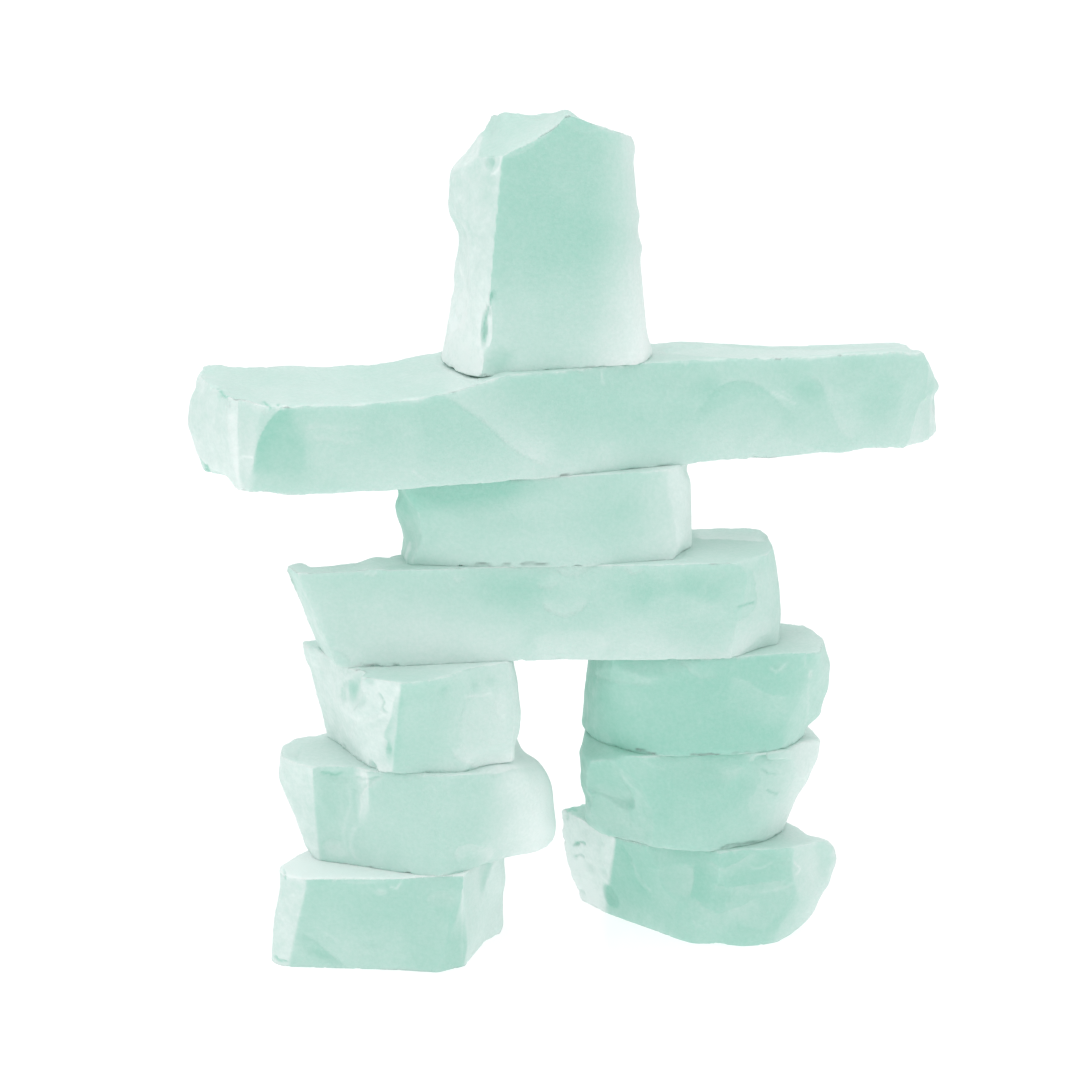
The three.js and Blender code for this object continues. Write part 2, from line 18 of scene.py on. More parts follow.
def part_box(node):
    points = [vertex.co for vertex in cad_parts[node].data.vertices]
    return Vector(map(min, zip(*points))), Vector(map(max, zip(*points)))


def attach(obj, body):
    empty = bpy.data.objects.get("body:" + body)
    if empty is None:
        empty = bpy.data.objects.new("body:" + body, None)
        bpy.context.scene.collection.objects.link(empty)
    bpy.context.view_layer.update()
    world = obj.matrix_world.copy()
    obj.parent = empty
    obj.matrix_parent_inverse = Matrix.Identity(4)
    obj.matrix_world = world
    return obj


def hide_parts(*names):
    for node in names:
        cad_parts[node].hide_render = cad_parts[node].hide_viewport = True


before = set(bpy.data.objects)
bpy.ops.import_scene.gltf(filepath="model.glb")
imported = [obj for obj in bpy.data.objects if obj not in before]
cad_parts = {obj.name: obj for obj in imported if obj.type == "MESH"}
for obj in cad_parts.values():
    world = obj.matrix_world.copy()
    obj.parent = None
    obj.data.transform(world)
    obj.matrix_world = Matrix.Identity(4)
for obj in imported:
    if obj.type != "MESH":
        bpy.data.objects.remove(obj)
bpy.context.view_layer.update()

MM = 0.001

# The camera, as fitted to the photograph
PHOTO_PIXELS = 1080
SENSOR_WIDTH = 36.0
LENS = 106.0
CAMERA_TURN = math.radians(-12.0)
CAMERA_RISE = math.radians(16.5)
CAMERA_DISTANCE = 0.9
CAMERA_TARGET = Vector((-0.01078, -0.00372, 0.122))

PIXELS_A_MM = LENS / SENSOR_WIDTH * PHOTO_PIXELS / CAMERA_DISTANCE * MM

# Between two stations a line of pixels is drawn in this many steps
LINE_STEPS = 6

# How finely the split faces are worked, in metres
VOXEL = 0.00053
LONG_VOXEL = 0.00062
LONG_STONE = 0.16
WELD = 0.000001

SEED = 20


# The camera and the way from a pixel of the photograph to a stone


def camera_axes():
    level = math.cos(CAMERA_RISE)
    across, away = math.sin(CAMERA_TURN), -math.cos(CAMERA_TURN)
    back = Vector((across * level, away * level, math.sin(CAMERA_RISE)))
    right = Vector((0, 0, 1)).cross(back).normalized()
    return right, back.cross(right), back


def place_camera():
    back = camera_axes()[2]
    data = bpy.data.cameras.new("photo_camera")
    data.lens = LENS
    data.sensor_width = SENSOR_WIDTH
    data.clip_start = 0.01
    camera = bpy.data.objects.new("photo_camera", data)
    bpy.context.scene.collection.objects.link(camera)
    camera.location = CAMERA_TARGET + back * CAMERA_DISTANCE
    camera.rotation_euler = back.to_track_quat("Z", "Y").to_euler()
    bpy.context.scene.camera = camera


def photo_ray(pixel):
    """The camera's place and the direction in which it sees a pixel of the photograph."""
    right, up, back = camera_axes()
    per_pixel = SENSOR_WIDTH / PHOTO_PIXELS
    across = (pixel[0] - PHOTO_PIXELS / 2) * per_pixel
    above = (PHOTO_PIXELS / 2 - pixel[1]) * per_pixel
    origin = CAMERA_TARGET + back * CAMERA_DISTANCE
    return origin, (right * across + up * above - back * LENS).normalized()


def photo_spots(points):
    """The pixels of the photograph at which points lie."""
    right, up, back = (np.array(axis) for axis in camera_axes())
    offset = points - np.array(CAMERA_TARGET) - back * CAMERA_DISTANCE
    scale = LENS / SENSOR_WIDTH * PHOTO_PIXELS / -(offset @ back)
    return PHOTO_PIXELS / 2 + np.column_stack((offset @ right, -(offset @ up))) * scale[:, None]


def bent_line(stations):
    """A smooth line of pixels through the stations."""
    stations = np.array(stations, float)
    ends = np.vstack((2 * stations[0] - stations[1], stations, 2 * stations[-1] - stations[-2]))
    share = np.linspace(0, 1, LINE_STEPS, endpoint=False)[:, None]
    spans = []
    for before, start, end, after in zip(ends, ends[1:], ends[2:], ends[3:]):
        bend = 2 * before - 5 * start + 4 * end - after
        twist = 3 * (start - end) + after - before
        spans.append(start + 0.5 * share * (end - before + share * (bend + share * twist)))
    return np.vstack((*spans, stations[-1:]))


def seen_point(tree, pixel):
    """The place on a stone under a pixel, or the nearest place on it where the pixel is just beside it."""
    origin, direction = photo_ray(pixel)
    place = tree.ray_cast(origin, direction)[0]
    if place is None:
        aside = origin + direction * (CAMERA_TARGET - origin).dot(direction)
        place = tree.find_nearest(aside)[0]
    return np.array(place)


# Noise in space, the same on every run: so many slopes, and stretched to swing from about -1 to 1
SLOPES = 256
STRETCH = 1.6


def lattice(seed):
    draw = np.random.default_rng(seed)
    slopes = draw.normal(size=(SLOPES, 3))
    slopes /= np.linalg.norm(slopes, axis=1)[:, None]
    return draw.permutation(SLOPES), slopes


def noise(points, seed):
    """Smooth noise of about -1 to 1 that changes over one unit of the points."""
    order, slopes = lattice(seed)
    cell = np.floor(points).astype(int)
    part = points - cell
    fade = part**3 * (part * (part * 6 - 15) + 10)
    total = np.zeros(len(points))
    for corner in product((0, 1), repeat=3):
        at = cell + corner
        pick = order[at[:, 0] % SLOPES]
        pick = order[(pick + at[:, 1]) % SLOPES]
        pick = order[(pick + at[:, 2]) % SLOPES]
        weight = np.prod(np.where(corner, fade, 1 - fade), axis=1)
        total += weight * ((part - corner) * slopes[pick]).sum(axis=1)
    return total * STRETCH


def ramp(values, low, high):
    """A smooth rise from 0 at low to 1 at high."""
    share = np.clip((values - low) / (high - low), 0, 1)
    return share * share * (3 - 2 * share)


def unit(ways):
    return ways / np.linalg.norm(ways, axis=-1, keepdims=True)


# How the form of a stone is read: points belong to one face while their ways differ by less than a spread
FACE_ROUNDS = 14
FACE_SPREAD = 0.05
FACE_PULL = 2
SETTLE_ROUNDS = 24

# In a round of settling or softening, a point goes this share of the way
ROUND_STEP = 0.5

# Keeps a sum of weights, and a reach, off zero
TINY_WEIGHT = 1e-9
TINY_REACH = 1e-6

# Arrises stand proud of a softened copy of the stone by this much, in metres
ARRIS_ROUNDS = 12
ARRIS_LOW = 0.00015
ARRIS_HIGH = 0.00045

# A point this far from its neighbours' middle, in metres, is a splinter too thin for stone
LONE_POINT = 0.0003
DRAW_IN_ROUNDS = 4

# Rounded ends: rounds, how far a point goes in each, and the share of the width with the full force
EASE_ROUNDS = 70
EASE_STEP = 0.8
EASE_CORE = 0.5

# Beds look up or down and lie within a hair of another stone
BED_LEVEL = 0.75
BED_REACH = 0.0009

# How far a bed is let out to close on its neighbour, in millimetres, and its loss of relief and flakes
BED_CLOSING = 0.14
BED_CALM = 0.85
BED_ARRIS_CALM = 0.8

# Bowls: nearly level mouths, the waves round the rim, how far out a bowl cuts, its ripples, and where
# its painted highlight along one side begins and its painted shade ends, as shares of its half width
MOUTH_LEVEL = 0.2
RIM_WAVES = (2, 3, 5)
BOWL_REACH = 1.4
RIPPLE_RATE = 22.0
HIGHLIGHT_FROM = 0.2
SHADE_REACH = 1.2

# Tears: how far a face turns to the camera, the line's wander in millimetres, half the lip's width, how
# fast it falls off, and the share of its length over which it starts and ends
SEEN_WAY = 0.05
WANDER_RUN = 2.0
LIP = 0.2
TEAR_FALL = 1.2
TEAR_ENDS = 0.15

# How fast a swell falls off
SWELL_FALL = 1.5

# Relief of the split faces, in millimetres: the run and the height of each kind, more on left faces
SWELL_RUN, SWELL_HIGH = 21, 0.26
DENT_RUN, DENT_HIGH = 8, 0.07
HACKLE_RUN, HACKLE_HIGH, LEFT_HACKLE_HIGH = 3.6, 0.04, 0.16
TOOTH_RUN, TOOTH_HIGH, LEFT_TOOTH_HIGH = 1.5, 0.02, 0.03

# Drift of the tone: the run in millimetres and the swing of each kind, the last two on left sides alone
BROAD_RUN, BROAD_SWING = 26, 0.12
CLOUD_RUN, CLOUD_SWING = 9, 0.05
BLOTCH_RUN, BLOTCH_SWING = 4.2, 0.14
FLECK_RUN, FLECK_SWING = 1.7, 0.1
DRIFT_SEED = SEED + 7
WANDER_SEED = SEED + 11

# The way that the coarser split faces look, from where to where it counts, and the ways of some bites
LEFT_BACK = np.array((math.cos(math.radians(165)), math.sin(math.radians(165)), 0.0))
LEFT_BACK_FROM, LEFT_BACK_FULL = 0.5, 0.75
LEFT = (-1.0, 0.1, 0.0)
RIGHT = (1.0, 0.0, 0.0)
UP = (0.0, 0.0, 1.0)
DOWN = (0.0, 0.0, -1.0)
LEFT_FRONT = (-0.6, -0.8, 0.0)


class ToneWithPaintedLight(NamedTuple):
    """How pale a stone is: its own tone all over, with painted light towards its foot, at its right end,
    and on its sides and top.

    The painted light on the sides begins where a face turns this many degrees from the figure's front, and
    the painted glow at the right end from a share of the stone's width.
    """

    body: float
    # foot, edge, left, right and top are painted light: bounce from the floor, a glow at the right end,
    # light on the sides and top
    foot: float = 0.2
    edge: float = 0.3
    left: float = 0.75
    lit_left_turn: float = -45.0
    right: float = 0.5
    lit_right_turn: float = 45.0
    top: float = 0.45
    painted_glow_from: float = 0.7


# Paleness runs from 0, deep green, by 1, light green, to this, nearly white
PALEST = 1.5

# Rounds in which a scar's tint and painted light spread out
TINT_ROUNDS = 3

# How wide the change from front tone to the painted light of a side is, in degrees, and where the sides
# give way to the back
LIT_SIDE_BLEND = 6.0
BACK_TURN = 130.0
BACK_BLEND = 15.0

# A face is a side up to this rise of its way, and takes on the painted light of a top from one rise to
# another
LIT_SIDE_FULL = 0.55
LIT_TOP_FROM = 0.35
LIT_TOP_FULL = 0.8

# The painted bounce light at the foot fades out at this share of a stone's height
BOUNCE_SHARE = 0.6


class Bowl(NamedTuple):
    """A bite left by a blow: millimetres across, up and in, and the degrees that it is turned.

    It opens the given way, or as its face looks. A tint above zero paints a highlight along one side, one
    below zero paints shade in the middle, with an even share all over. Ripples are in millimetres. The rim
    is ragged by a share of the reach.
    """

    wide: float
    tall: float
    deep: float
    spin: float = 0.0
    tint_and_painted_light: float = 0.0
    way: tuple = ()
    ripple: float = 0.02
    ragged: float = 0.15
    chip: float = 0.1
    even: float = 0.0


class Tear(NamedTuple):
    """A torn edge along a line of pixels.

    On the right-hand side, going along the line, the stone lies lower and takes painted light by its tint,
    or painted shade where the tint is below zero, and comes back over the width in millimetres. A thin one
    does so on both sides.
    """

    line: tuple
    wide: float
    tint_and_painted_light: float
    deep: float = 0.25
    thin: bool = False
    ragged: float = 0.3
    # Painted shade in a gap, as a share of dark grey
    painted_gap_shade: float = 0.0


def vein(line, tint_and_painted_light, wide=1.3, deep=-0.1):
    """A thin ridge, with painted light along it from its tint, or painted shade where the tint is below
    zero.
    """
    return Tear(line, wide, tint_and_painted_light, deep, thin=True)


def groove(line, tint_and_painted_light, wide=1.0):
    """A thin groove, with painted shade along it from its tint."""
    return vein(line, tint_and_painted_light, wide, 0.3)


def patch(line, tint_and_painted_light, wide):
    """A soft patch of painted light, or of painted shade where its tint is below zero, with no relief."""
    return vein(line, tint_and_painted_light, wide, 0.0)


def slit(line, painted_gap_shade=0.85):
    """A dark gap where two beds don't quite meet: a shallow groove, darkened with painted shade."""
    return Tear(line, 1.0, 0.0, 0.35, thin=True, ragged=0.15, painted_gap_shade=painted_gap_shade)


class Flakes(NamedTuple):
    """Random bites: their chance at a point, millimetres apart and in size, depth as a share, and lean."""

    chance: float
    gap: float
    small: float
    large: float
    shallow: float
    deep: float
    lean: float


HIDDEN_FLAKES = Flakes(0.01, gap=15.0, small=8.0, large=20.0, shallow=0.012, deep=0.026, lean=0.08)
ARRIS_FLAKES = Flakes(0.25, gap=2.8, small=0.8, large=3.2, shallow=0.08, deep=0.16, lean=0.2)

# How much small flakes outnumber large ones, and how long, turned, bruised and ragged they are
FLAKE_SMALLNESS = 2.5
FLAKE_STRETCH = (1.0, 2.0)
FLAKE_SPIN = (-90, 90)
FLAKE_CHIP = (0.1, 0.8)
FLAKE_RAGGED = 0.25

# How far towards the back a face looks where the hidden flakes begin, and where they are all there
HIDDEN_FROM, HIDDEN_FULL = 0.3, 0.6


class Looks(NamedTuple):
    """What a stone shows: its tone, and its marks at pixels.

    A swell has a width and a height in millimetres and a way, and a rounded end has a width.
    """

    tone: ToneWithPaintedLight
    scars: list
    tears: list
    swells: list
    rounded: list = []


def solid_tree(node):
    return BVHTree.FromObject(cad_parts[node], bpy.context.evaluated_depsgraph_get())


SOLID_TREES = {node: solid_tree(node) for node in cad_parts}
SOLID_BOXES = {node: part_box(node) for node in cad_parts}


def touching_trees(node):
    """The solids of the stones that rest on this one or that it rests on."""
    low, high = SOLID_BOXES[node]
    return [
        tree
        for other, tree in SOLID_TREES.items()
        if other != node
        and SOLID_BOXES[other][0][2] < high[2] + BED_REACH
        and low[2] < SOLID_BOXES[other][1][2] + BED_REACH
    ]


# Work on the surface of one stone


class Stone:
    """The surface of one stone, as points that tools can move, in metres."""

    def __init__(self, node):
        self.node = node
        self.draw = np.random.default_rng(SEED + sorted(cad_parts).index(node))
        self.low, self.high = (np.array(corner) for corner in SOLID_BOXES[node])
        mesh = self.worked_mesh()
        count = len(mesh.vertices)
        self.points = np.empty(count * 3)
        mesh.vertices.foreach_get("co", self.points)
        self.points = self.points.reshape(-1, 3)
        links = np.empty(len(mesh.edges) * 2, int)
        mesh.edges.foreach_get("vertices", links)
        self.links = links.reshape(-1, 2)
        self.degree = np.bincount(self.links.ravel(), minlength=count)
        self.chipped = np.zeros(count)
        self.tint_and_painted_light = np.zeros(count)
        self.painted_gap_shade = np.zeros(count)
        self.read_form()

    def worked_mesh(self):
        """The solid's form in small even faces."""
        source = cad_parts[self.node].data.copy()
        work = bmesh.new()
        work.from_mesh(source)
        bmesh.ops.remove_doubles(work, verts=work.verts, dist=WELD)
        work.to_mesh(source)
        work.free()
        self.piece = bpy.data.objects.new(self.node + "_split", source)
        bpy.context.scene.collection.objects.link(self.piece)
        remesh = self.piece.modifiers.new("remesh", "REMESH")
        remesh.mode = "VOXEL"
        is_long = self.high[0] - self.low[0] > LONG_STONE
        remesh.voxel_size = LONG_VOXEL if is_long else VOXEL
        graph = bpy.context.evaluated_depsgraph_get()
        mesh = bpy.data.meshes.new_from_object(self.piece.evaluated_get(graph))
        self.piece.modifiers.clear()
        self.piece.data = mesh
        return mesh

    def middles(self, values):
        """For each point, the mean of its neighbours' values."""
        first, second = self.links.T
        mean = np.empty_like(values)
        for axis in range(values.shape[1]):
            value = values[:, axis]
            mean[:, axis] = np.bincount(first, value[second], len(value))
            mean[:, axis] += np.bincount(second, value[first], len(value))
        return mean / self.degree[:, None]

    def face_middles(self, values, spread):
        """For each point, the mean of the neighbours' values that lie on the same face as the point."""
        first, second = self.links.T
        turn = 1 - (self.facing[first] * self.facing[second]).sum(axis=1)
        weight = np.exp(-turn / spread)
        count = len(values)
        total = np.bincount(first, weight, count) + np.bincount(second, weight, count) + TINY_WEIGHT
        mean = np.empty_like(values)
        for axis in range(values.shape[1]):
            value = values[:, axis]
            mean[:, axis] = np.bincount(first, weight * value[second], count)
            mean[:, axis] += np.bincount(second, weight * value[first], count)
        return mean / total[:, None]

    def read_form(self):
        """Which way each face looks, where the arrises are, and where another stone rests."""
        self.facing = self.normals(self.points)
        for _ in range(FACE_ROUNDS):
            self.facing = unit(self.facing + FACE_PULL * self.face_middles(self.facing, FACE_SPREAD))
        broad = self.points
        for _ in range(ARRIS_ROUNDS):
            broad = broad + (self.middles(broad) - broad) * ROUND_STEP
        self.broad_facing = self.normals(broad)
        stands_proud = ((self.points - broad) * self.broad_facing).sum(axis=1)
        self.arris = ramp(stands_proud, ARRIS_LOW, ARRIS_HIGH)
        steep = np.abs(self.facing[:, 2]) > BED_LEVEL
        self.bedded = np.zeros(len(self.points))
        others = touching_trees(self.node)
        for index in np.flatnonzero(steep):
            place = Vector(self.points[index])
            if any(tree.find_nearest(place, BED_REACH)[0] is not None for tree in others):
                self.bedded[index] = 1
        self.bedded = self.middles(self.bedded[:, None])[:, 0]

    def mesh_at(self, points):
        mesh = self.piece.data
        mesh.vertices.foreach_set("co", points.ravel())
        mesh.update()
        return mesh

    def normals(self, points):
        mesh = self.mesh_at(points)
        flat = np.empty(len(mesh.vertices) * 3)
        mesh.vertex_normals.foreach_get("vector", flat)
        return flat.reshape(-1, 3)

    def tree(self):
        self.mesh_at(self.points)
        return BVHTree.FromObject(self.piece, bpy.context.evaluated_depsgraph_get())

    def settle(self):
        """Draws the points onto the faces that their neighbours set, which keeps the arrises keen."""
        first, second = self.links.T
        count = len(self.points)
        for _ in range(SETTLE_ROUNDS):
            gap = self.points[second] - self.points[first]
            to_first = (gap * self.facing[second]).sum(axis=1)
            to_second = -(gap * self.facing[first]).sum(axis=1)
            for axis in range(3):
                move = np.bincount(first, to_first * self.facing[second, axis], count)
                move += np.bincount(second, to_second * self.facing[first, axis], count)
                self.points[:, axis] += move / self.degree * ROUND_STEP

    def nearest(self, place):
        return int(((self.points - place) ** 2).sum(axis=1).argmin())

    def carve(self, place, out, bowl):
        """Takes a bowl out of the stone, its mouth on the surface at the place."""
        out = unit(np.array(out))
        level = np.cross(UP, out)
        if np.linalg.norm(level) < MOUTH_LEVEL:
            level = np.array((1.0, 0.0, 0.0))
            level = level - out * (level @ out)
        level = unit(level)
        climb = np.cross(out, level)
        turn = math.radians(bowl.spin)
        along = level * math.cos(turn) + climb * math.sin(turn)
        across = np.cross(out, along)
        size = max(bowl.wide, bowl.tall) * MM
        box = np.flatnonzero((np.abs(self.points - place) < size).all(axis=1))
        offset = self.points[box] - place
        x = offset @ along / (bowl.wide * MM / 2)
        y = offset @ across / (bowl.tall * MM / 2)
        reach = np.hypot(x, y)
        angle = np.arctan2(y, x)
        for count, start in zip(RIM_WAVES, self.draw.uniform(0, 2 * math.pi, len(RIM_WAVES))):
            reach = reach * (1 + bowl.ragged / count * np.sin(count * angle + start))
        height = offset @ out
        floor = bowl.deep * MM * (reach**2 - 1)
        floor += bowl.ripple * MM * np.sin(reach * RIPPLE_RATE) * np.clip(1 - reach, 0, 1)
        cut = (reach < BOWL_REACH) & (height > -size / 2) & (height > floor)
        inside = box[cut]
        self.points[inside] += (floor - height)[cut, None] * out
        self.chipped[inside] = np.maximum(self.chipped[inside], bowl.chip)
        # Painted light: a highlight along one side of the bite, or painted shade in its middle where the
        # tint is below zero
        if bowl.tint_and_painted_light > 0:
            painted_light_share = np.clip(x[cut] / (reach[cut] + TINY_REACH), 0, 1)
            painted_light_share *= ramp(reach[cut], HIGHLIGHT_FROM, 1.0)
        else:
            painted_light_share = ramp(-reach[cut], -SHADE_REACH, 0.0)
        self.tint_and_painted_light[inside] += bowl.tint_and_painted_light * (bowl.even + (1 - bowl.even) * painted_light_share)

    def spread_tint_and_painted_light(self):
        tint_and_painted_light = self.tint_and_painted_light[:, None]
        for _ in range(TINT_ROUNDS):
            tint_and_painted_light = self.middles(tint_and_painted_light)
        self.tint_and_painted_light = tint_and_painted_light[:, 0]

    def tear(self, torn):
        """Sinks and tints the stone along a torn edge, on the faces that the camera sees."""
        line = bent_line(torn.line)
        spots = photo_spots(self.points)
        reach = torn.wide * PIXELS_A_MM
        near = (spots > line.min(axis=0) - reach).all(axis=1)
        near &= (spots < line.max(axis=0) + reach).all(axis=1)
        near &= self.facing @ np.array(camera_axes()[2]) > SEEN_WAY
        near = np.flatnonzero(near)
        spots = spots[near]
        away = np.full(len(near), np.inf)
        side = np.zeros(len(near))
        along = np.zeros(len(near))
        for index, (start, step) in enumerate(zip(line, np.diff(line, axis=0))):
            share = np.clip((spots - start) @ step / (step @ step), 0, 1)
            gap = spots - start - share[:, None] * step
            length = np.hypot(*gap.T)
            nearer = length < away
            away[nearer] = length[nearer]
            side[nearer] = np.sign(step[0] * gap[:, 1] - step[1] * gap[:, 0])[nearer]
            along[nearer] = (index + share[nearer]) / (len(line) - 1)
        away = side * away / PIXELS_A_MM
        away += noise(self.points[near] / MM / WANDER_RUN, WANDER_SEED) * torn.ragged
        if torn.thin:
            force = ramp(-np.abs(away), -torn.wide / 2, 0)
        else:
            force = ramp(away, -LIP, LIP) * np.clip(1 - away / torn.wide, 0, 1) ** TEAR_FALL
        force *= ramp(along, 0, TEAR_ENDS) * ramp(-along, -1, TEAR_ENDS - 1)
        self.points[near] -= (force * torn.deep * MM)[:, None] * self.facing[near]
        # Painted light and shade beside the step, or along the ridge or groove of a thin one
        self.tint_and_painted_light[near] += force * torn.tint_and_painted_light
        # Painted shade in the gaps, along thin lines
        self.painted_gap_shade[near] = np.maximum(self.painted_gap_shade[near], force * torn.painted_gap_shade)

    def reach_from(self, pixel, wide):
        """How far each point is from a pixel of the photograph, in half widths given in millimetres."""
        return np.linalg.norm(photo_spots(self.points) - pixel, axis=1) / (wide * PIXELS_A_MM / 2)

    def swell(self, pixel, wide, high, out):
        """Lets the stone out round a pixel of the photograph, or takes it in, in millimetres."""
        reach = self.reach_from(pixel, wide)
        self.points += np.exp(-(reach**2) * SWELL_FALL)[:, None] * (high * MM) * np.array(out)

    def ease(self, pixel, wide):
        """Rounds the stone off round a pixel of the photograph, over that many millimetres."""
        force = ramp(-self.reach_from(pixel, wide), -1, -EASE_CORE)[:, None] * EASE_STEP
        for _ in range(EASE_ROUNDS):
            self.points += force * (self.middles(self.points) - self.points)

    def flake(self, where, flakes):
        """Random bites, the more the nearer to 1 a point's value is."""
        chance = where * flakes.chance
        order = self.draw.permutation(np.flatnonzero(chance > self.draw.random(len(chance))))
        cells = np.floor(self.points[order] / (flakes.gap * MM)).astype(int)
        taken = set()
        for index, cell in zip(order, map(tuple, cells)):
            if cell in taken:
                continue
            taken.add(cell)
            size = flakes.small + (flakes.large - flakes.small) * self.draw.random() ** FLAKE_SMALLNESS
            bowl = Bowl(
                wide=size * self.draw.uniform(*FLAKE_STRETCH),
                tall=size,
                deep=size * self.draw.uniform(flakes.shallow, flakes.deep),
                spin=self.draw.uniform(*FLAKE_SPIN),
                chip=self.draw.uniform(*FLAKE_CHIP),
                ragged=FLAKE_RAGGED,
            )
            out = self.broad_facing[index] + self.draw.normal(size=3) * flakes.lean
            self.carve(self.points[index].copy(), out, bowl)

    def draw_in(self):
        """Draws lone points that stick out back to their neighbours."""
        for _ in range(DRAW_IN_ROUNDS):
            gap = self.middles(self.points) - self.points
            lone = np.linalg.norm(gap, axis=1) > LONE_POINT
            self.points[lone] += gap[lone]

    def roughen(self):
        """Gentle swells and a fine tooth, held back on the beds where stones meet."""
        out = self.normals(self.points)
        free = 1 - BED_CALM * self.bedded
        left = ramp(self.facing @ LEFT_BACK, LEFT_BACK_FROM, LEFT_BACK_FULL)
        mm = self.points / MM
        seed = int(self.draw.integers(1000))
        swell = noise(mm / SWELL_RUN, seed) * SWELL_HIGH + noise(mm / DENT_RUN, seed + 1) * DENT_HIGH
        hackle = -np.abs(noise(mm / HACKLE_RUN, seed + 2)) * (HACKLE_HIGH + LEFT_HACKLE_HIGH * left)
        tooth = noise(mm / TOOTH_RUN, seed + 3) * (TOOTH_HIGH + LEFT_TOOTH_HIGH * left)
        lift = (swell + hackle + tooth) * free + BED_CLOSING * self.bedded
        self.points += (lift * MM)[:, None] * out

    def paleness_with_painted_light(self, tone):
        """How far each point pales from deep green: its own tone, with painted light on faces turned to
        the sides and up, painted bounce light towards its foot, a painted glow towards its right end, and
        its marks' tints and painted light.
        """
        share = (self.points - self.low) / (self.high - self.low)
        turn = np.degrees(np.arctan2(self.facing[:, 0], -self.facing[:, 1]))
        # Painted light on faces turned to the sides and up, painted bounce at the foot, a painted glow at
        # the right end
        side = ramp(-np.abs(self.facing[:, 2]), -LIT_TOP_FULL, -LIT_SIDE_FULL)
        side *= ramp(-np.abs(turn), -BACK_TURN - BACK_BLEND, -BACK_TURN)
        left = side * ramp(-turn, -tone.lit_left_turn - LIT_SIDE_BLEND, -tone.lit_left_turn + LIT_SIDE_BLEND)
        right = side * ramp(turn, tone.lit_right_turn - LIT_SIDE_BLEND, tone.lit_right_turn + LIT_SIDE_BLEND)
        top = ramp(self.facing[:, 2], LIT_TOP_FROM, LIT_TOP_FULL)
        painted_bounce = ramp(-share[:, 2], -BOUNCE_SHARE, 0.0)
        edge = ramp(share[:, 0], tone.painted_glow_from, 1.0)
        mm = self.points / MM
        drift = noise(mm / BROAD_RUN, DRIFT_SEED) * BROAD_SWING
        drift += noise(mm / CLOUD_RUN, DRIFT_SEED + 1) * CLOUD_SWING
        blotches = noise(mm / BLOTCH_RUN, DRIFT_SEED + 2) * BLOTCH_SWING
        flecks = noise(mm / FLECK_RUN, DRIFT_SEED + 3) * FLECK_SWING
        drift += left * (blotches + flecks)
        pale = tone.body + tone.foot * painted_bounce + tone.edge * edge
        pale += tone.left * left + tone.right * right + tone.top * top
        return np.clip(pale + drift + self.tint_and_painted_light, 0, PALEST)

    def finish(self, material, tone):
        """Keeps the stone above the floor, and hands its points and marks over to the piece."""
        self.points[:, 2] = np.maximum(self.points[:, 2], 0)
        mesh = self.mesh_at(self.points)
        mesh.shade_smooth()
        # The pale mark holds the stone's tone together with painted light and shade
        pale = self.paleness_with_painted_light(tone)
        marks = {"chipped": self.chipped, "arris": self.arris, "painted_gap_shade": self.painted_gap_shade, "pale": pale}
        for name, values in marks.items():
            layer = mesh.attributes.new(name, "FLOAT", "POINT")
            layer.data.foreach_set("value", values)
        mesh.materials.clear()
        mesh.materials.append(material)
        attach(self.piece, "root")
        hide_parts(self.node)


# The stone's finish: its colours, and the shares of its clouds, grain and bruises
DEEP_GREEN = (0.325, 0.645, 0.54, 1)
LIGHT_GREEN = (0.67, 0.817, 0.777, 1)
NEAR_WHITE = (0.85, 0.945, 0.92, 1)
BRUISE = (0.8, 0.88, 0.855, 1)
SHADOW_GREY = (0.2, 0.27, 0.25, 1)
CLOUD_SHARE = 0.16
GRAIN_SHARE = 0.17
CHIP_SHARE = 0.3
ARRIS_SHARE = 0.5


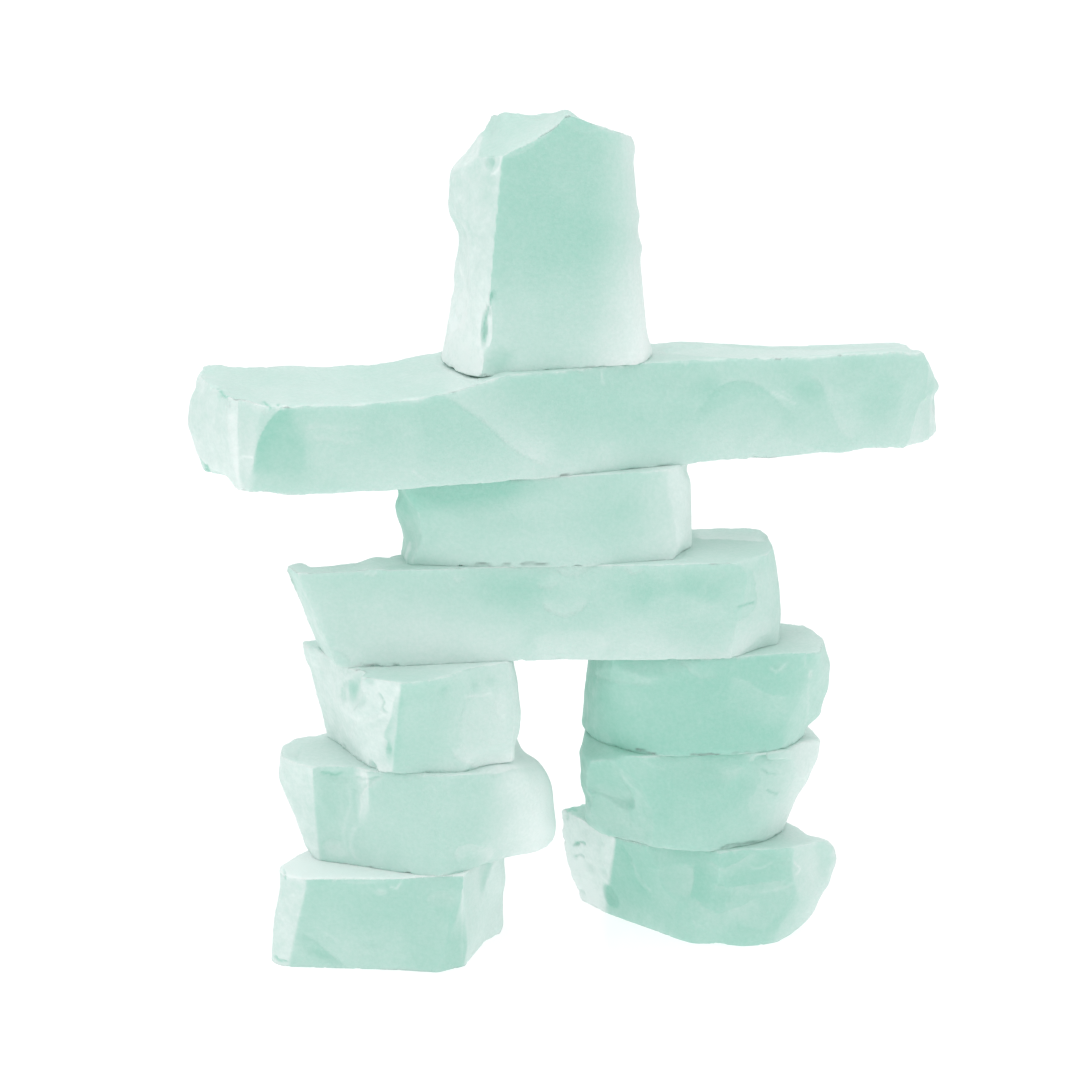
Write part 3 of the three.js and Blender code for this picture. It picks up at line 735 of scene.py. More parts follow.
def stone_material():
    material = bpy.data.materials.new("pale_green_stone")
    material.use_nodes = True
    tree = material.node_tree
    nodes, links = tree.nodes, tree.links
    nodes.clear()
    output = nodes.new("ShaderNodeOutputMaterial")
    shader = nodes.new("ShaderNodeBsdfPrincipled")
    links.new(shader.outputs[0], output.inputs[0])
    place = nodes.new("ShaderNodeTexCoord").outputs["Object"]

    def clouds(scale, detail, low, high):
        """Noise of that many swings a metre, stretched so that low to high runs from 0 to 1."""
        texture = nodes.new("ShaderNodeTexNoise")
        texture.inputs["Scale"].default_value = scale
        texture.inputs["Detail"].default_value = detail
        links.new(place, texture.inputs["Vector"])
        span = nodes.new("ShaderNodeMapRange")
        span.inputs["From Min"].default_value = low
        span.inputs["From Max"].default_value = high
        links.new(texture.outputs["Fac"], span.inputs["Value"])
        return span.outputs["Result"]

    def blend(share, first, second):
        mix = nodes.new("ShaderNodeMix")
        mix.data_type = "RGBA"
        for socket, value in ((mix.inputs[0], share), (mix.inputs[6], first), (mix.inputs[7], second)):
            if isinstance(value, tuple):
                socket.default_value = value
            else:
                links.new(value, socket)
        return mix.outputs[2]

    def worked(operation, first, second):
        node = nodes.new("ShaderNodeMath")
        node.operation = operation
        node.use_clamp = operation == "ADD"
        links.new(first, node.inputs[0])
        if isinstance(second, float):
            node.inputs[1].default_value = second
        else:
            links.new(second, node.inputs[1])
        return node.outputs[0]

    def scaled(value, factor):
        return worked("MULTIPLY", value, factor)

    def summed(first, second):
        return worked("ADD", first, second)

    def attribute(name):
        node = nodes.new("ShaderNodeAttribute")
        node.attribute_name = name
        return node.outputs["Fac"]

    # The pale attribute carries the stone's tone together with painted light and shade
    pale = scaled(attribute("pale"), 1 / PALEST)
    pale = summed(pale, scaled(clouds(70, 5, 0.5, 0.8), CLOUD_SHARE / PALEST))
    pale = summed(pale, scaled(clouds(1000, 3, 0.35, 0.75), GRAIN_SHARE / PALEST))
    scale = nodes.new("ShaderNodeValToRGB")
    links.new(pale, scale.inputs["Fac"])
    scale.color_ramp.elements[0].color = DEEP_GREEN
    scale.color_ramp.elements[1].color = NEAR_WHITE
    scale.color_ramp.elements.new(1 / PALEST).color = LIGHT_GREEN
    body = scale.outputs["Color"]
    broken = scaled(attribute("arris"), clouds(130, 3, 0.42, 0.62))
    worn = summed(scaled(attribute("chipped"), CHIP_SHARE), scaled(broken, ARRIS_SHARE))
    body = blend(worn, body, BRUISE)
    # Painted shade in the gaps between stones, as dark grey
    body = blend(attribute("painted_gap_shade"), body, SHADOW_GREY)
    links.new(body, shader.inputs["Base Color"])
    matte = nodes.new("ShaderNodeMapRange")
    matte.inputs["To Min"].default_value = 0.48
    matte.inputs["To Max"].default_value = 0.78
    links.new(clouds(260, 4, 0.35, 0.65), matte.inputs["Value"])
    links.new(matte.outputs["Result"], shader.inputs["Roughness"])
    bump = nodes.new("ShaderNodeBump")
    bump.inputs["Strength"].default_value = 0.45
    bump.inputs["Distance"].default_value = 0.00025
    tooth = scaled(clouds(700, 4, 0.3, 0.7), 0.6)
    dust = scaled(clouds(2600, 3, 0.3, 0.7), 0.4)
    links.new(summed(tooth, dust), bump.inputs["Height"])
    links.new(bump.outputs["Normal"], shader.inputs["Normal"])
    shader.inputs["Subsurface Weight"].default_value = 0.2
    shader.inputs["Subsurface Radius"].default_value = (0.8, 1.0, 0.95)
    shader.inputs["Subsurface Scale"].default_value = 0.006
    shader.inputs["IOR"].default_value = 1.5
    return material


# The longer lines of pixels: the arm's left corner, step and arch, the hip's corner and the thigh's corner
ARM_CORNER = ((297, 404), (277, 412), (265, 427), (258, 442), (254, 460), (251, 478))
ARM_STEP = ((560, 474), (530, 458), (510, 447), (495, 432), (480, 419), (462, 407), (452, 400), (440, 399))
ARM_ARCH = (
    *((683, 425), (700, 407), (715, 390), (730, 382), (745, 381)),
    *((760, 386), (772, 395), (785, 407), (800, 420)),
)
HIP_CORNER = ((716, 658), (732, 640), (736, 624), (748, 616), (757, 603), (755, 580), (751, 565))
THIGH_CORNER = ((390, 768), (386, 752), (388, 742), (384, 735), (391, 718), (393, 704), (398, 690))

# What each stone shows, at pixels of the photograph
LOOKS = {}

# The head stone: dark front, a left face brightened with painted light, a slanted facet at its top left
LOOKS["head_stone"] = Looks(
    tone=ToneWithPaintedLight(0.15, foot=0.52, edge=0.82, painted_glow_from=0.6,
              left=0.72, lit_left_turn=-40, right=0.05, lit_right_turn=32, top=0.5),
    scars=[
        ((640, 182), Bowl(12, 9, 0.9, way=RIGHT, ripple=0)),
        ((643, 233), Bowl(8, 6, 0.8, way=RIGHT, ripple=0)),
        ((534, 114), Bowl(10, 16, 0.7, way=UP, ripple=0)),
        ((489, 162), Bowl(3.6, 5, 1, 20, tint_and_painted_light=-0.7)),
        ((500, 360), Bowl(10, 9, 0.5, tint_and_painted_light=-0.4)),
        ((492, 296), Bowl(2.2, 3.4, 0.7, tint_and_painted_light=-0.6)),
        ((488, 312), Bowl(2, 3.2, 0.7, 15, tint_and_painted_light=-0.6)),
        ((484, 330), Bowl(2, 3.4, 0.7, -15, tint_and_painted_light=-0.5)),
    ],
    tears=[
        vein(((502, 153), (500, 163), (496, 171), (489, 175)), 0.45),
        groove(((494, 286), (490, 297), (487, 308), (483, 321), (482, 331), (486, 343)), -0.6),
        vein(((493, 299), (492, 312), (488, 324), (489, 338)), 0.15, 1.2),
        Tear(((638, 142), (620, 135), (600, 131), (584, 134), (571, 130), (557, 121)), 3.6, 0.15, 0.2),
        Tear(((566, 121), (554, 130), (539, 142), (519, 155), (500, 159)), 6, 0.25, 0.1, ragged=0.15),
        vein(((463, 218), (470, 232), (472, 250)), -0.15, 2, 0.2),
        vein(((459, 262), (463, 285), (457, 300)), 0.15, 1.6),
        slit(((478, 372), (489, 373), (503, 373)), 0.6),
        slit(((570, 370), (585, 368), (597, 367)), 0.5),
        slit(((596, 367), (608, 368), (624, 369)), 0.55),
    ],
    swells=[
        ((502, 116), 7, 1.7, UP),
        ((500, 113), 6, 2.9, UP),
        ((455, 230), 7, -0.7, LEFT),
        ((452, 288), 7, -0.7, LEFT),
        ((567, 117), 7.5, 1.9, UP),
        ((484, 129), 7, -1.5, (-0.7, 0, 0.7)),
        ((528, 112), 8, -0.6, UP),
        ((480, 374), 24, 0.9, DOWN),
        ((634, 148), 6, 0.7, RIGHT),
        ((641, 247), 6, 0.8, RIGHT),
        ((648, 350), 9, 1, RIGHT),
        ((640, 215), 6, 0.7, RIGHT),
        ((452, 364), 20, 1.3, DOWN),
        ((447, 318), 22, -1.8, LEFT),
        ((455, 245), 10, -1, LEFT),
        ((468, 142), 16, -1.3, (-0.7, 0, 0.7)),
        ((539, 111), 8, -0.8, UP),
    ],
)

# The arm stone: a long slab with a split left end and broad shell marks on its front
LOOKS["arm_stone"] = Looks(
    tone=ToneWithPaintedLight(0.33, foot=0.25, edge=0.05, left=0.57, lit_left_turn=-40, right=0.3, lit_right_turn=50, top=0.42),
    scars=[
        ((252, 448), Bowl(11, 40, 0.3, way=LEFT_FRONT, tint_and_painted_light=0.34, even=1)),
        ((266, 408), Bowl(17, 10, 0.5, -20, way=(-0.35, -0.85, 0.4), tint_and_painted_light=0.3, even=1)),
        ((214, 386), Bowl(6, 4, 0.8)),
        ((300, 455), Bowl(14, 24, 0.2, tint_and_painted_light=-0.2)),
        # Painted light on the arm's top beside the head's foot, laid over the shade there
        ((452, 372), Bowl(26, 12, 0.1, way=UP, tint_and_painted_light=0.2, even=1)),
        ((464, 374), Bowl(16, 9, 0.1, way=UP, tint_and_painted_light=0.25, even=1)),
        ((220, 394), Bowl(3.4, 2.2, 0.7, 30, tint_and_painted_light=-0.9)),
        ((227, 402), Bowl(2.2, 1.6, 0.5, 60, tint_and_painted_light=-0.8)),
        ((236, 398), Bowl(1.6, 2.4, 0.5, tint_and_painted_light=-0.6)),
        ((262, 403), Bowl(2, 1.8, 0.6, tint_and_painted_light=-0.6)),
        ((251, 408), Bowl(1.6, 1.6, 0.4, tint_and_painted_light=-0.4)),
        ((274, 407), Bowl(1.6, 2, 0.5, tint_and_painted_light=-0.4)),
        ((281, 407), Bowl(3.6, 2.6, 0.6, tint_and_painted_light=0.5, even=1, chip=0.8)),
        ((268, 408), Bowl(2, 3, 0.4, tint_and_painted_light=0.4, even=1, chip=0.7)),
        ((292, 405), Bowl(3, 2, 0.4)),
        ((213, 468), Bowl(3.4, 2.6, 0.7, tint_and_painted_light=-1.1)),
        ((207, 461), Bowl(2, 1.6, 0.5, tint_and_painted_light=-0.8)),
        ((245, 471), Bowl(5, 5.5, 0.4, tint_and_painted_light=0.35, even=1)),
        ((362, 404), Bowl(5, 2, 0.4, tint_and_painted_light=0.2, even=1)),
        ((415, 399), Bowl(7, 3, 0.5, tint_and_painted_light=0.25, even=1)),
        ((702, 390), Bowl(16, 10, 0.3, tint_and_painted_light=-0.2)),
        ((808, 388), Bowl(16, 13, 0.3, tint_and_painted_light=-0.2)),
        ((745, 424), Bowl(24, 16, 0.4, tint_and_painted_light=0.06, even=1)),
        ((885, 398), Bowl(24, 26, 0.5, tint_and_painted_light=-0.25)),
        ((934, 402), Bowl(6, 6, 1, way=RIGHT)),
        ((800, 350), Bowl(60, 16, 0.2, way=UP, tint_and_painted_light=0.15, even=1)),
    ],
    tears=[
        slit(((558, 477), (568, 476), (579, 477))),
        slit(((626, 470), (633, 469), (641, 470)), 0.3),
        slit(((655, 467), (668, 466), (684, 467)), 0.3),
        Tear(ARM_CORNER, 9, 0.3, 0.2),
        Tear(ARM_CORNER[::-1], 15, -0.4, 0),
        groove(((217, 388), (223, 394), (229, 402)), -0.9, 1.1),
        groove(((208, 461), (213, 468), (210, 474)), -1, 1.3),
        groove(((262, 400), (268, 405), (272, 411)), -0.8),
        groove(((277, 403), (281, 408), (280, 413)), -0.8),
        vein(((237, 393), (239, 410), (240, 430), (239, 455), (237, 480)), 0.12, 1.4),
        vein(((240, 458), (247, 456), (254, 459)), 0.4, 1.2),
        Tear(((368, 428), (350, 431), (334, 431), (318, 427), (304, 431)), 2.6, 0.2, 0.2),
        Tear(((368, 441), (348, 444), (330, 440), (317, 441), (308, 436)), 3, 0.18, 0.2),
        Tear(((306, 470), (305, 445), (307, 420)), 12, 0.15, 0.15),
        Tear(ARM_STEP, 15, 0.33, 0.4, ragged=0.1),
        vein(((412, 470), (420, 477), (426, 482)), 0.2),
        Tear(ARM_ARCH, 7, -0.1, 0.25),
        Tear(ARM_ARCH[:1:-1], 8, 0.16, 0),
        vein(((768, 390), (780, 396), (790, 401), (798, 404)), 0.3, 1.1),
        vein(((780, 391), (787, 394), (793, 398)), 0.2, 1),
        Tear(((852, 445), (838, 425), (830, 407), (822, 385), (800, 371)), 11, 0.2, 0.3),
        vein(((600, 369), (602, 377), (604, 386)), 0.4, 1.2),
        Tear(((905, 446), (910, 435), (915, 420), (920, 405), (936, 390)), 9, 0.3, 0.4),
        vein(((797, 442), (805, 447), (814, 451)), 0.2),
        Tear(((607, 470), (602, 456), (600, 440)), 8, 0.15, 0.2),
    ],
    swells=[
        ((908, 447), 16, 1.5, DOWN),
        ((842, 452), 9, 0.7, DOWN),
        ((208, 468), 9, 1.5, (-0.6, 0, -0.6)),
        ((270, 495), 10, -0.8, DOWN),
        ((915, 349), 8, -1.5, UP),
        ((770, 456), 14, 0.8, DOWN),
        ((292, 367), 18, 0.4, UP),
        ((205, 366), 7, -1, UP),
        ((937, 387), 5, 1, RIGHT),
        ((191, 390), 7, -0.9, LEFT),
        ((925, 439), 7, 1, (0.6, 0, -0.6)),
        ((211, 472), 7, 0.8, (-0.6, 0, -0.6)),
        ((660, 341), 9, -0.7, UP),
    ],
)

# The chest stone: plain, with painted shade at its top left, and paled by a painted glow at its rounded
# right end
LOOKS["chest_stone"] = Looks(
    tone=ToneWithPaintedLight(0.33, edge=0.5, left=0, right=0.2, lit_right_turn=12),
    rounded=[((676, 512), 24)],
    scars=[
        ((572, 551), Bowl(4, 3, 0.25, tint_and_painted_light=0.1)),
    ],
    tears=[
        slit(((473, 565), (482, 564), (493, 566)), 0.7),
        slit(((501, 566), (506, 564), (512, 565)), 0.5),
        slit(((518, 564), (532, 563), (551, 565)), 0.65),
        vein(((404, 541), (405, 550), (404, 563)), 0.5, 1.6),
        # Painted shade across the top left of the front
        patch(((360, 500), (400, 499), (430, 496), (570, 478)), -0.42, 16),
        Tear(((560, 552), (571, 548), (579, 553)), 3, 0.15, 0.2),
    ],
    swells=[
        ((399, 536), 13, -2, LEFT),
        ((688, 469), 6, -1.2, RIGHT),
        ((395, 493), 6, -1.2, LEFT),
    ],
)

# The hip stone: a slab with a top paled by painted light and shell marks on its front
LOOKS["hip_stone"] = Looks(
    tone=ToneWithPaintedLight(0.4, foot=0.25, edge=-0.03, left=0.05, right=0.12, lit_right_turn=24, top=0.4),
    scars=[
        ((345, 566), Bowl(34, 12, 0.1, way=UP, tint_and_painted_light=0.3, even=1)),
        ((515, 590), Bowl(30, 15, 0.3, tint_and_painted_light=-0.27)),
        ((640, 592), Bowl(30, 18, 0.2, tint_and_painted_light=-0.3)),
        ((700, 588), Bowl(22, 18, 0.2, tint_and_painted_light=-0.33)),
        ((700, 635), Bowl(22, 12, 0.3, tint_and_painted_light=-0.15)),
        ((575, 645), Bowl(18, 9, 0.3, tint_and_painted_light=0.15, even=1)),
        ((757, 633), Bowl(14, 11, 0.5, tint_and_painted_light=0.14, even=0.6)),
    ],
    tears=[
        slit(((358, 664), (372, 666), (388, 668)), 0.55),
        slit(((391, 667), (395, 666), (400, 667)), 0.5),
        slit(((466, 667), (471, 666), (477, 667)), 0.4),
        Tear(((590, 597), (584, 608), (573, 615), (560, 616), (548, 611), (540, 600)), 6, 0.26, 0.5),
        Tear(((559, 580), (553, 588), (543, 588), (536, 582)), 3.2, 0.2, 0.35),
        Tear(((590, 569), (578, 575), (564, 575), (553, 567)), 3.5, 0.2, 0.35),
        Tear(((466, 577), (459, 583), (451, 578)), 2.4, 0.22, 0.35),
        Tear(((377, 573), (372, 578), (360, 572)), 1.8, 0.4, 0.4),
        Tear(((646, 569), (634, 575), (622, 567)), 2.6, 0.3, 0.4),
        Tear(HIP_CORNER, 8, 0.2, 0.4),
        groove(((736, 608), (746, 604), (756, 602)), -0.5),
        Tear(((772, 542), (730, 540), (690, 538)), 5, 0.6, 0),
        Tear(((352, 664), (345, 654), (330, 648)), 5, 0.2, 0.3),
        Tear(((730, 575), (712, 584), (706, 598), (716, 612)), 9, 0.14, 0.2),
        patch(((200, 590), (300, 610), (360, 622), (420, 634), (560, 652)), 0.3, 30),
    ],
    swells=[
        ((372, 557), 9, 1.8, UP),
        ((300, 565), 7, 0.9, UP),
        ((768, 538), 6, -0.8, RIGHT),
    ],
)

# The left thigh stone: a left face brightened with painted light and pitted with painted shade, and a
# right end paled by a painted glow
LOOKS["left_thigh_stone"] = Looks(
    tone=ToneWithPaintedLight(0.36, foot=0.05, edge=0.46, painted_glow_from=0.4,
              left=0.62, lit_left_turn=-22, right=0.2, lit_right_turn=32),
    scars=[
        ((353, 689), Bowl(6, 11, 0.35, -15, tint_and_painted_light=-0.8, ragged=0.4)),
        ((358, 704), Bowl(9, 7, 0.3, 20, tint_and_painted_light=-0.4, ragged=0.4)),
        ((364, 678), Bowl(6, 4, 0.3, 20, tint_and_painted_light=-0.4, ragged=0.4)),
        ((370, 682), Bowl(3, 4, 0.5, tint_and_painted_light=-0.5)),
        ((330, 690), Bowl(8, 14, 0.5, tint_and_painted_light=0.04)),
        ((372, 740), Bowl(12, 14, 0.4, tint_and_painted_light=0.04)),
        ((344, 747), Bowl(3.6, 1.6, 0.5, tint_and_painted_light=-0.6)),
        ((373, 765), Bowl(4, 3.4, 0.8, tint_and_painted_light=-0.7)),
        ((389, 748), Bowl(2.4, 5.5, 0.5, tint_and_painted_light=-0.6)),
        ((444, 690), Bowl(6, 4, 0.3, tint_and_painted_light=-0.3)),
        ((475, 686), Bowl(3, 5, 0.4, tint_and_painted_light=-0.3)),
        ((491, 680), Bowl(4, 3, 0.3, tint_and_painted_light=-0.3)),
        ((482, 694), Bowl(6, 3, 0.3, tint_and_painted_light=0.15)),
        ((488, 724), Bowl(12, 20, 0.5, tint_and_painted_light=0.1)),
    ],
    tears=[
        Tear(((400, 682), (398, 700), (394, 718)), 4, 0.22, 0),
        groove(((377, 691), (384, 701), (383, 708), (389, 714)), -0.5),
        vein(((334, 706), (346, 711), (352, 717), (366, 721), (380, 716), (390, 706)), 0.12, 2.2),
        Tear(((342, 704), (342, 688), (350, 677)), 5, -0.3, 0.3, ragged=0.8),
        Tear(THIGH_CORNER, 4.5, -0.5, 0, ragged=0.2),
        Tear(((384, 712), (372, 718), (358, 722), (350, 735), (352, 755)), 8, 0.05, 0.3),
        Tear(((518, 742), (515, 760), (490, 768), (475, 767), (457, 758), (450, 746)), 6, 0.35, 0.4),
        Tear(((468, 762), (461, 740), (467, 700)), 12, 0.1, 0.2, ragged=1.2),
        Tear(((500, 722), (496, 706), (499, 684)), 5, 0.14, 0.3, ragged=0.6),
        vein(((462, 697), (478, 696), (494, 693)), 0.25, 1.4),
    ],
    swells=[
        ((523, 745), 8, -1, RIGHT),
        ((306, 655), 9, 0.8, LEFT),
    ],
)

# The left knee stone: angular at the left, round and paled by a painted glow at the right
LOOKS["left_knee_stone"] = Looks(
    tone=ToneWithPaintedLight(0.42, foot=0.05, edge=1.05, painted_glow_from=0.6,
              left=0.55, lit_left_turn=-37, right=0.05, lit_right_turn=40),
    rounded=[((519, 792), 30)],
    scars=[
        ((329, 800), Bowl(7, 20, 0.5, tint_and_painted_light=-0.15)),
        ((337, 851), Bowl(7, 3.6, 0.4, tint_and_painted_light=0.3, even=0.7)),
        ((333, 777), Bowl(6, 3, 0.5, tint_and_painted_light=-0.2)),
        ((370, 782), Bowl(6, 3.4, 0.4, 25, tint_and_painted_light=0.2, even=0.6)),
        ((478, 860), Bowl(13, 7, 0.7, tint_and_painted_light=0.45)),
        ((487, 851), Bowl(4, 2.4, 0.4)),
    ],
    tears=[
        Tear(((384, 774), (372, 783), (365, 789), (362, 797)), 3, -0.12, 0.4, ragged=0.5),
        vein(((382, 776), (369, 786), (361, 797), (362, 807), (359, 818)), 0.22, 1.2),
        vein(((358, 824), (352, 833), (351, 845), (356, 862)), 0.22, 1.8),
        vein(((351, 771), (350, 790), (351, 806), (345, 820), (344, 838), (350, 860)), 0.14, 2),
        Tear(((352, 771), (368, 773), (385, 774)), 3.5, 0.3, 0.3),
        groove(((319, 771), (331, 774), (345, 773)), -0.5, 1.1),
        groove(((354, 777), (366, 779), (380, 777)), -0.35),
        Tear(((320, 846), (330, 840), (345, 842)), 4, 0.2, 0.3),
        Tear(((458, 864), (456, 851), (468, 845), (492, 848)), 5, 0.3, 0.4),
        vein(((303, 745), (297, 760), (303, 772)), -0.12, 2, 0.15),
    ],
    swells=[
        ((281, 780), 14, 1.2, LEFT),
        ((546, 776), 18, 1.2, RIGHT),
        ((548, 834), 12, 1.6, RIGHT),
        ((525, 745), 10, -1.8, (0.5, 0, 0.8)),
        ((281, 748), 8, -0.9, (-0.7, 0, 0.5)),
    ],
)

# The left foot stone: a long flat front under a top made nearly white with painted light
LOOKS["left_foot_stone"] = Looks(
    tone=ToneWithPaintedLight(0.29, foot=0.1, edge=0.1, left=0.6, lit_left_turn=-24, right=0.6, lit_right_turn=32, top=1.2),
    scars=[
        ((292, 877), Bowl(7, 4, 0.5, tint_and_painted_light=0.35, even=1)),
        ((283, 873), Bowl(2, 2.4, 0.5, tint_and_painted_light=-0.5)),
        ((322, 882), Bowl(6, 2.2, 0.4, tint_and_painted_light=-0.25)),
        ((381, 892), Bowl(2.2, 1.8, 0.3, tint_and_painted_light=0.5, even=1)),
        ((440, 897), Bowl(10, 6, 0.4, tint_and_painted_light=0.15)),
        ((320, 955), Bowl(12, 4.5, 0.4, -25, tint_and_painted_light=-0.25)),
        ((372, 946), Bowl(10, 2.6, 0.3, -10, tint_and_painted_light=-0.2)),
        ((430, 925), Bowl(12, 14, 0.4, tint_and_painted_light=0.12)),
    ],
    tears=[
        vein(((389, 886), (396, 889), (402, 881)), 0.5, 1.2),
        groove(((273, 955), (280, 960), (289, 962)), -0.8, 1.1),
        groove(((281, 868), (284, 874), (282, 880)), -0.7),
        Tear(((298, 932), (315, 942), (330, 954), (348, 968)), 4, -0.2, 0.4),
        vein(((313, 925), (328, 934), (342, 944)), 0.15, 1.2),
        Tear(((487, 898), (486, 880), (486, 862)), 9, 0.08, 0.12),
        Tear(((424, 902), (432, 893), (446, 892), (455, 902)), 5, 0.15, 0.25),
        vein(((462, 965), (462, 925), (462, 885)), 0.2, 1.2),
        vein(((340, 881), (365, 883), (380, 881)), 0.2, 1.4),
    ],
    swells=[
        ((277, 888), 14, -0.9, LEFT),
        ((504, 880), 9, 0.8, RIGHT),
    ],
)

# The right thigh stone: the darkest, with a bellied front
LOOKS["right_thigh_stone"] = Looks(
    tone=ToneWithPaintedLight(0, foot=0, edge=0.36, painted_glow_from=0.6,
              left=0.08, lit_left_turn=-70, right=0.15, lit_right_turn=22, top=0.62),
    rounded=[((604, 704), 22)],
    scars=[
        ((690, 712), Bowl(26, 14, 0.3, tint_and_painted_light=-0.12)),
        ((778, 668), Bowl(5, 2.6, 0.4, tint_and_painted_light=0.3)),
        ((811, 674), Bowl(1.1, 2.8, 0.4, 10, tint_and_painted_light=0.6, even=1, chip=0.7)),
        ((587, 712), Bowl(3, 9, 0.3, tint_and_painted_light=0.25, even=1)),
        ((605, 736), Bowl(6, 3, 0.3, tint_and_painted_light=0.12, even=1)),
    ],
    tears=[
        slit(((634, 749), (644, 751), (658, 755))),
        slit(((688, 755), (705, 755), (722, 755))),
        slit(((730, 754), (742, 752), (752, 753)), 0.25),
        vein(((590, 671), (610, 670), (630, 674), (647, 680), (667, 677)), 0.13, 3.2),
        Tear(((657, 686), (637, 685), (612, 682), (588, 675)), 3.5, 0.2, 0.3),
        Tear(((720, 675), (703, 680), (690, 671), (676, 660)), 4.5, 0.2, 0.3),
        vein(((768, 667), (778, 671), (788, 661)), 0.3, 1.4),
        Tear(((728, 676), (747, 681), (768, 694), (795, 697)), 10, 0.22, 0.2),
        vein(((808, 680), (808, 702), (805, 726)), 0.15, 1.2),
        vein(((803, 651), (805, 660), (806, 670)), 0.2, 1.2),
    ],
    swells=[
        ((812, 729), 6, -1, RIGHT),
        ((582, 726), 6, 0.7, LEFT),
        ((816, 716), 6, 0.9, RIGHT),
        ((811, 630), 6, 1, (0.6, 0, 0.8)),
    ],
)

# The right knee stone: dark, paled by a painted glow towards its right end
LOOKS["right_knee_stone"] = Looks(
    tone=ToneWithPaintedLight(0.12, foot=0.15, edge=0.95, painted_glow_from=0.6, left=0.1, right=0.1, lit_right_turn=30, top=0.05),
    scars=[
        ((610, 812), Bowl(9, 10, 0.2, tint_and_painted_light=0.06, even=1)),
        ((596, 772), Bowl(12, 16, 0.2, tint_and_painted_light=-0.15, ragged=0.4)),
        ((700, 770), Bowl(16, 6, 0.3, tint_and_painted_light=0.1)),
        ((795, 817), Bowl(5, 6, 0.8, way=RIGHT)),
    ],
    tears=[
        slit(((719, 850), (728, 846), (745, 844), (763, 841)), 0.45),
        Tear(((586, 788), (604, 785), (620, 790), (627, 800), (626, 815), (623, 830)), 6, 0.1, 0.2),
        vein(((620, 767), (627, 782), (642, 795)), 0.15, 1.6),
        vein(((638, 760), (650, 764), (667, 771)), 0.15, 1.6),
        Tear(((718, 773), (732, 770), (746, 766)), 4, 0.15, 0.2),
        groove(((760, 769), (768, 773), (777, 775)), -0.3),
        groove(((766, 789), (772, 793), (779, 794)), -0.4),
        Tear(((746, 815), (752, 795), (761, 778), (757, 760)), 12, 0.12, 0.15, ragged=1.2),
    ],
    swells=[
        ((814, 765), 15, 1.4, RIGHT),
        ((801, 829), 7, -1, RIGHT),
        ((812, 727), 9, -1.8, UP),
        ((804, 784), 8, 0.8, RIGHT),
        ((584, 799), 7, -1, LEFT),
        ((580, 751), 8, 0.9, LEFT),
    ],
)

# The right foot stone: a left face brightened with painted light and pitted with painted shade, and shell
# marks on a dark front
LOOKS["right_foot_stone"] = Looks(
    tone=ToneWithPaintedLight(0.09, foot=0.1, edge=0.5, left=1.2, lit_left_turn=-58, right=0.3, lit_right_turn=14, top=0.4),
    scars=[
        ((569, 808), Bowl(3.6, 2, 0.6, 20, tint_and_painted_light=-0.9)),
        ((567, 817), Bowl(2.4, 2, 0.5, tint_and_painted_light=-0.7)),
        ((577, 844), Bowl(3.4, 1.6, 0.6, 25, tint_and_painted_light=-1.1)),
        ((575, 856), Bowl(3, 1.4, 0.5, tint_and_painted_light=-0.7)),
        ((592, 822), Bowl(4, 3, 0.5, tint_and_painted_light=-0.5)),
        ((600, 842), Bowl(5, 4, 0.4, tint_and_painted_light=-0.3)),
        ((590, 868), Bowl(5, 5, 0.4, tint_and_painted_light=-0.25)),
        ((582, 892), Bowl(4, 3, 0.5, tint_and_painted_light=-0.5)),
        ((603, 872), Bowl(4, 4, 0.4, tint_and_painted_light=-0.3)),
        ((608, 898), Bowl(5, 7, 0.9, way=LEFT_FRONT, tint_and_painted_light=-1.2, even=1)),
        ((672, 884), Bowl(10, 10, 0.4, tint_and_painted_light=0.08)),
        ((722, 892), Bowl(16, 8, 0.4, tint_and_painted_light=-0.12)),
        ((765, 912), Bowl(16, 14, 0.4, tint_and_painted_light=0.12, even=1)),
        ((782, 862), Bowl(5, 3, 0.4, tint_and_painted_light=0.1)),
    ],
    tears=[
        groove(((565, 813), (571, 808), (578, 811)), -0.8, 1.1),
        groove(((572, 847), (580, 842), (586, 845)), -1, 1.3),
        groove(((574, 857), (580, 855), (585, 858)), -0.7),
        Tear(((619, 840), (630, 857), (638, 875), (653, 896)), 4, -0.12, 0.3),
        vein(((631, 858), (640, 880), (653, 893)), 0.25, 1.6),
        Tear(((694, 863), (693, 883), (688, 900)), 8, 0.2, 0.3),
        Tear(((688, 900), (693, 883), (694, 863)), 9, -0.15, 0),
        Tear(((708, 858), (722, 868), (740, 861), (757, 849)), 3.5, 0.3, 0.3),
        Tear(((708, 884), (730, 887), (750, 885), (770, 882), (792, 879)), 3.5, 0.3, 0.35),
        Tear(((694, 893), (704, 908), (722, 913), (745, 905), (757, 896)), 6, 0.22, 0.3),
        vein(((755, 892), (780, 889), (796, 882)), 0.2, 1.4),
        vein(((792, 861), (800, 868), (795, 875)), 0.4, 1.2),
        vein(((747, 866), (760, 868), (775, 860)), 0.25, 1.3),
        vein(((690, 918), (697, 925), (706, 931)), 0.15, 1.4),
        Tear(((661, 868), (660, 880), (668, 895), (684, 902)), 5, 0.12, 0.2),
    ],
    swells=[
        ((831, 852), 7, 1.2, RIGHT),
        ((810, 913), 11, 2, (0.7, 0, -0.5)),
        ((799, 926), 10, 1, (0.7, 0, -0.7)),
        ((802, 828), 8, -1.2, (0.4, 0, 0.8)),
    ],
)


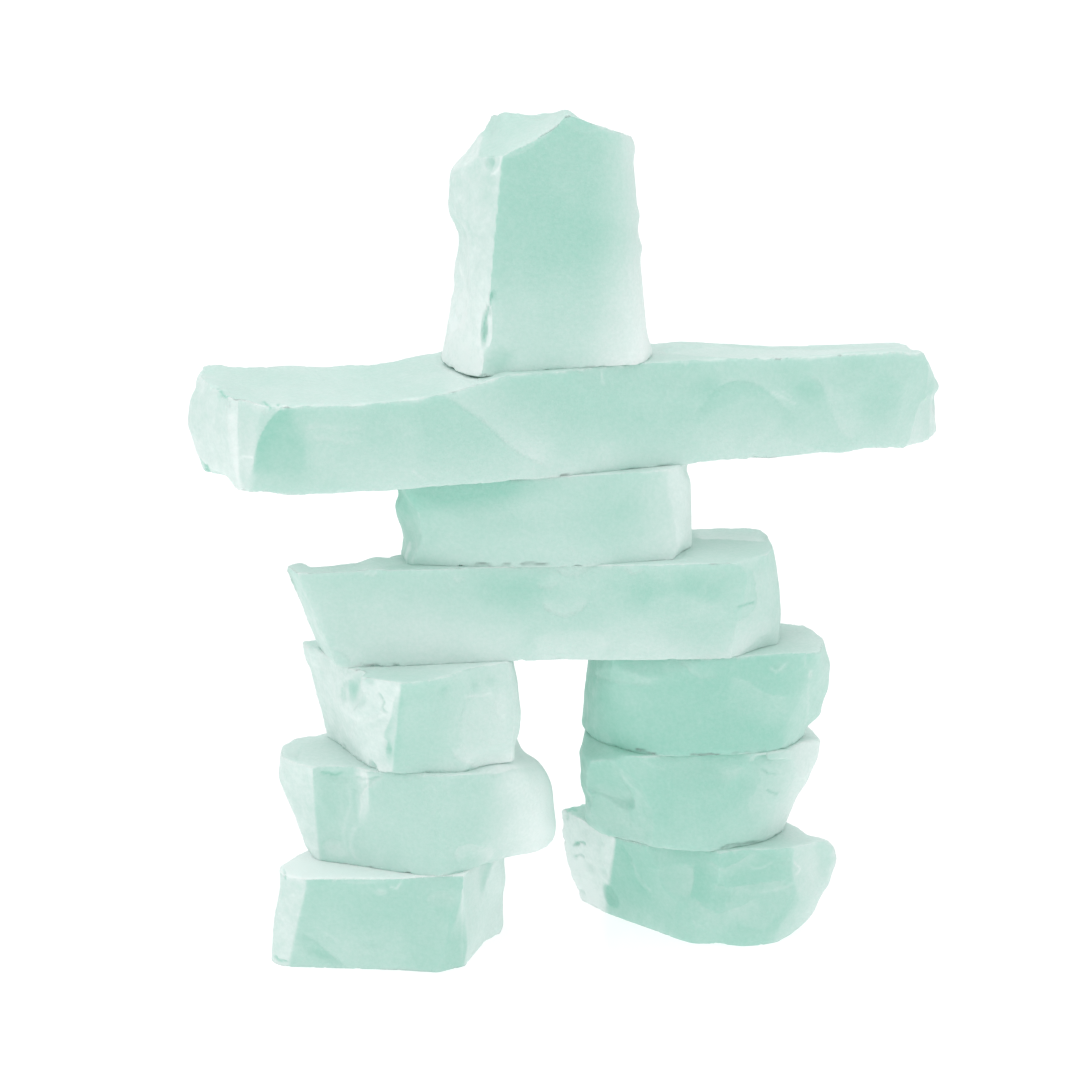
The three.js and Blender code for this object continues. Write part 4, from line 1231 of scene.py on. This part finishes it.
def dress(node, looks, material):
    stone = Stone(node)
    stone.settle()
    for pixel, wide in looks.rounded:
        stone.ease(pixel, wide)
    tree = stone.tree()
    for pixel, bowl in looks.scars:
        place = seen_point(tree, pixel)
        out = bowl.way or stone.broad_facing[stone.nearest(place)]
        stone.carve(place, out, bowl)
    stone.spread_tint_and_painted_light()
    for torn in looks.tears:
        stone.tear(torn)
    for pixel, wide, high, way in looks.swells:
        stone.swell(pixel, wide, high, way)
    hidden = ramp(stone.facing[:, 1], HIDDEN_FROM, HIDDEN_FULL) * (1 - stone.bedded)
    stone.flake(hidden, HIDDEN_FLAKES)
    stone.roughen()
    edge = stone.arris**2 * (1 - BED_ARRIS_CALM * stone.bedded)
    stone.flake(edge, ARRIS_FLAKES)
    stone.draw_in()
    stone.finish(material, looks.tone)


# The floor, the light and the air around the figure
FLOOR_HALF = 30.0
FLOOR_GREY = (0.5, 0.5, 0.5, 1)
FLOOR_GLOW = 0.62
AIR_GLOW = 0.648
SUN_SPREAD = 60

# Each sun's turn round the figure and rise above level, in degrees, and its power
SUNS = {
    "key_left_back": (165, 45, 0.22),
    "fill_left_front": (215, 30, 0.4),
    "fill_right_front": (325, 25, 0.4),
    "top_soft": (90, 85, 0.78),
}


def place_floor():
    half = FLOOR_HALF
    mesh = bpy.data.meshes.new("floor")
    corners = [(-half, -half, 0), (half, -half, 0), (half, half, 0), (-half, half, 0)]
    mesh.from_pydata(corners, [], [(0, 1, 2, 3)])
    floor = bpy.data.objects.new("floor", mesh)
    bpy.context.scene.collection.objects.link(floor)
    material = bpy.data.materials.new("pale_floor")
    material.use_nodes = True
    shader = material.node_tree.nodes["Principled BSDF"]
    shader.inputs["Base Color"].default_value = FLOOR_GREY
    shader.inputs["Roughness"].default_value = 0.1
    shader.inputs["Emission Color"].default_value = (1, 1, 1, 1)
    shader.inputs["Emission Strength"].default_value = FLOOR_GLOW
    mesh.materials.append(material)


def place_sun(name, turn, rise, power):
    data = bpy.data.lights.new(name, "SUN")
    data.angle = math.radians(SUN_SPREAD)
    data.energy = power
    light = bpy.data.objects.new(name, data)
    bpy.context.scene.collection.objects.link(light)
    around, above = math.radians(turn), math.radians(rise)
    level = math.cos(above)
    way = Vector((level * math.cos(around), level * math.sin(around), math.sin(above)))
    light.rotation_euler = way.to_track_quat("Z", "Y").to_euler()


def place_air():
    world = bpy.data.worlds.new("studio_air")
    bpy.context.scene.world = world
    world.use_nodes = True
    air = world.node_tree.nodes["Background"]
    air.inputs["Color"].default_value = (1, 1, 1, 1)
    air.inputs["Strength"].default_value = AIR_GLOW


place_camera()
stone_finish = stone_material()
for node_name in sorted(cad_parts):
    dress(node_name, LOOKS[node_name], stone_finish)
place_floor()
place_air()
for sun_name, sun in SUNS.items():
    place_sun(sun_name, *sun)
bpy.context.scene.view_settings.view_transform = "Standard"
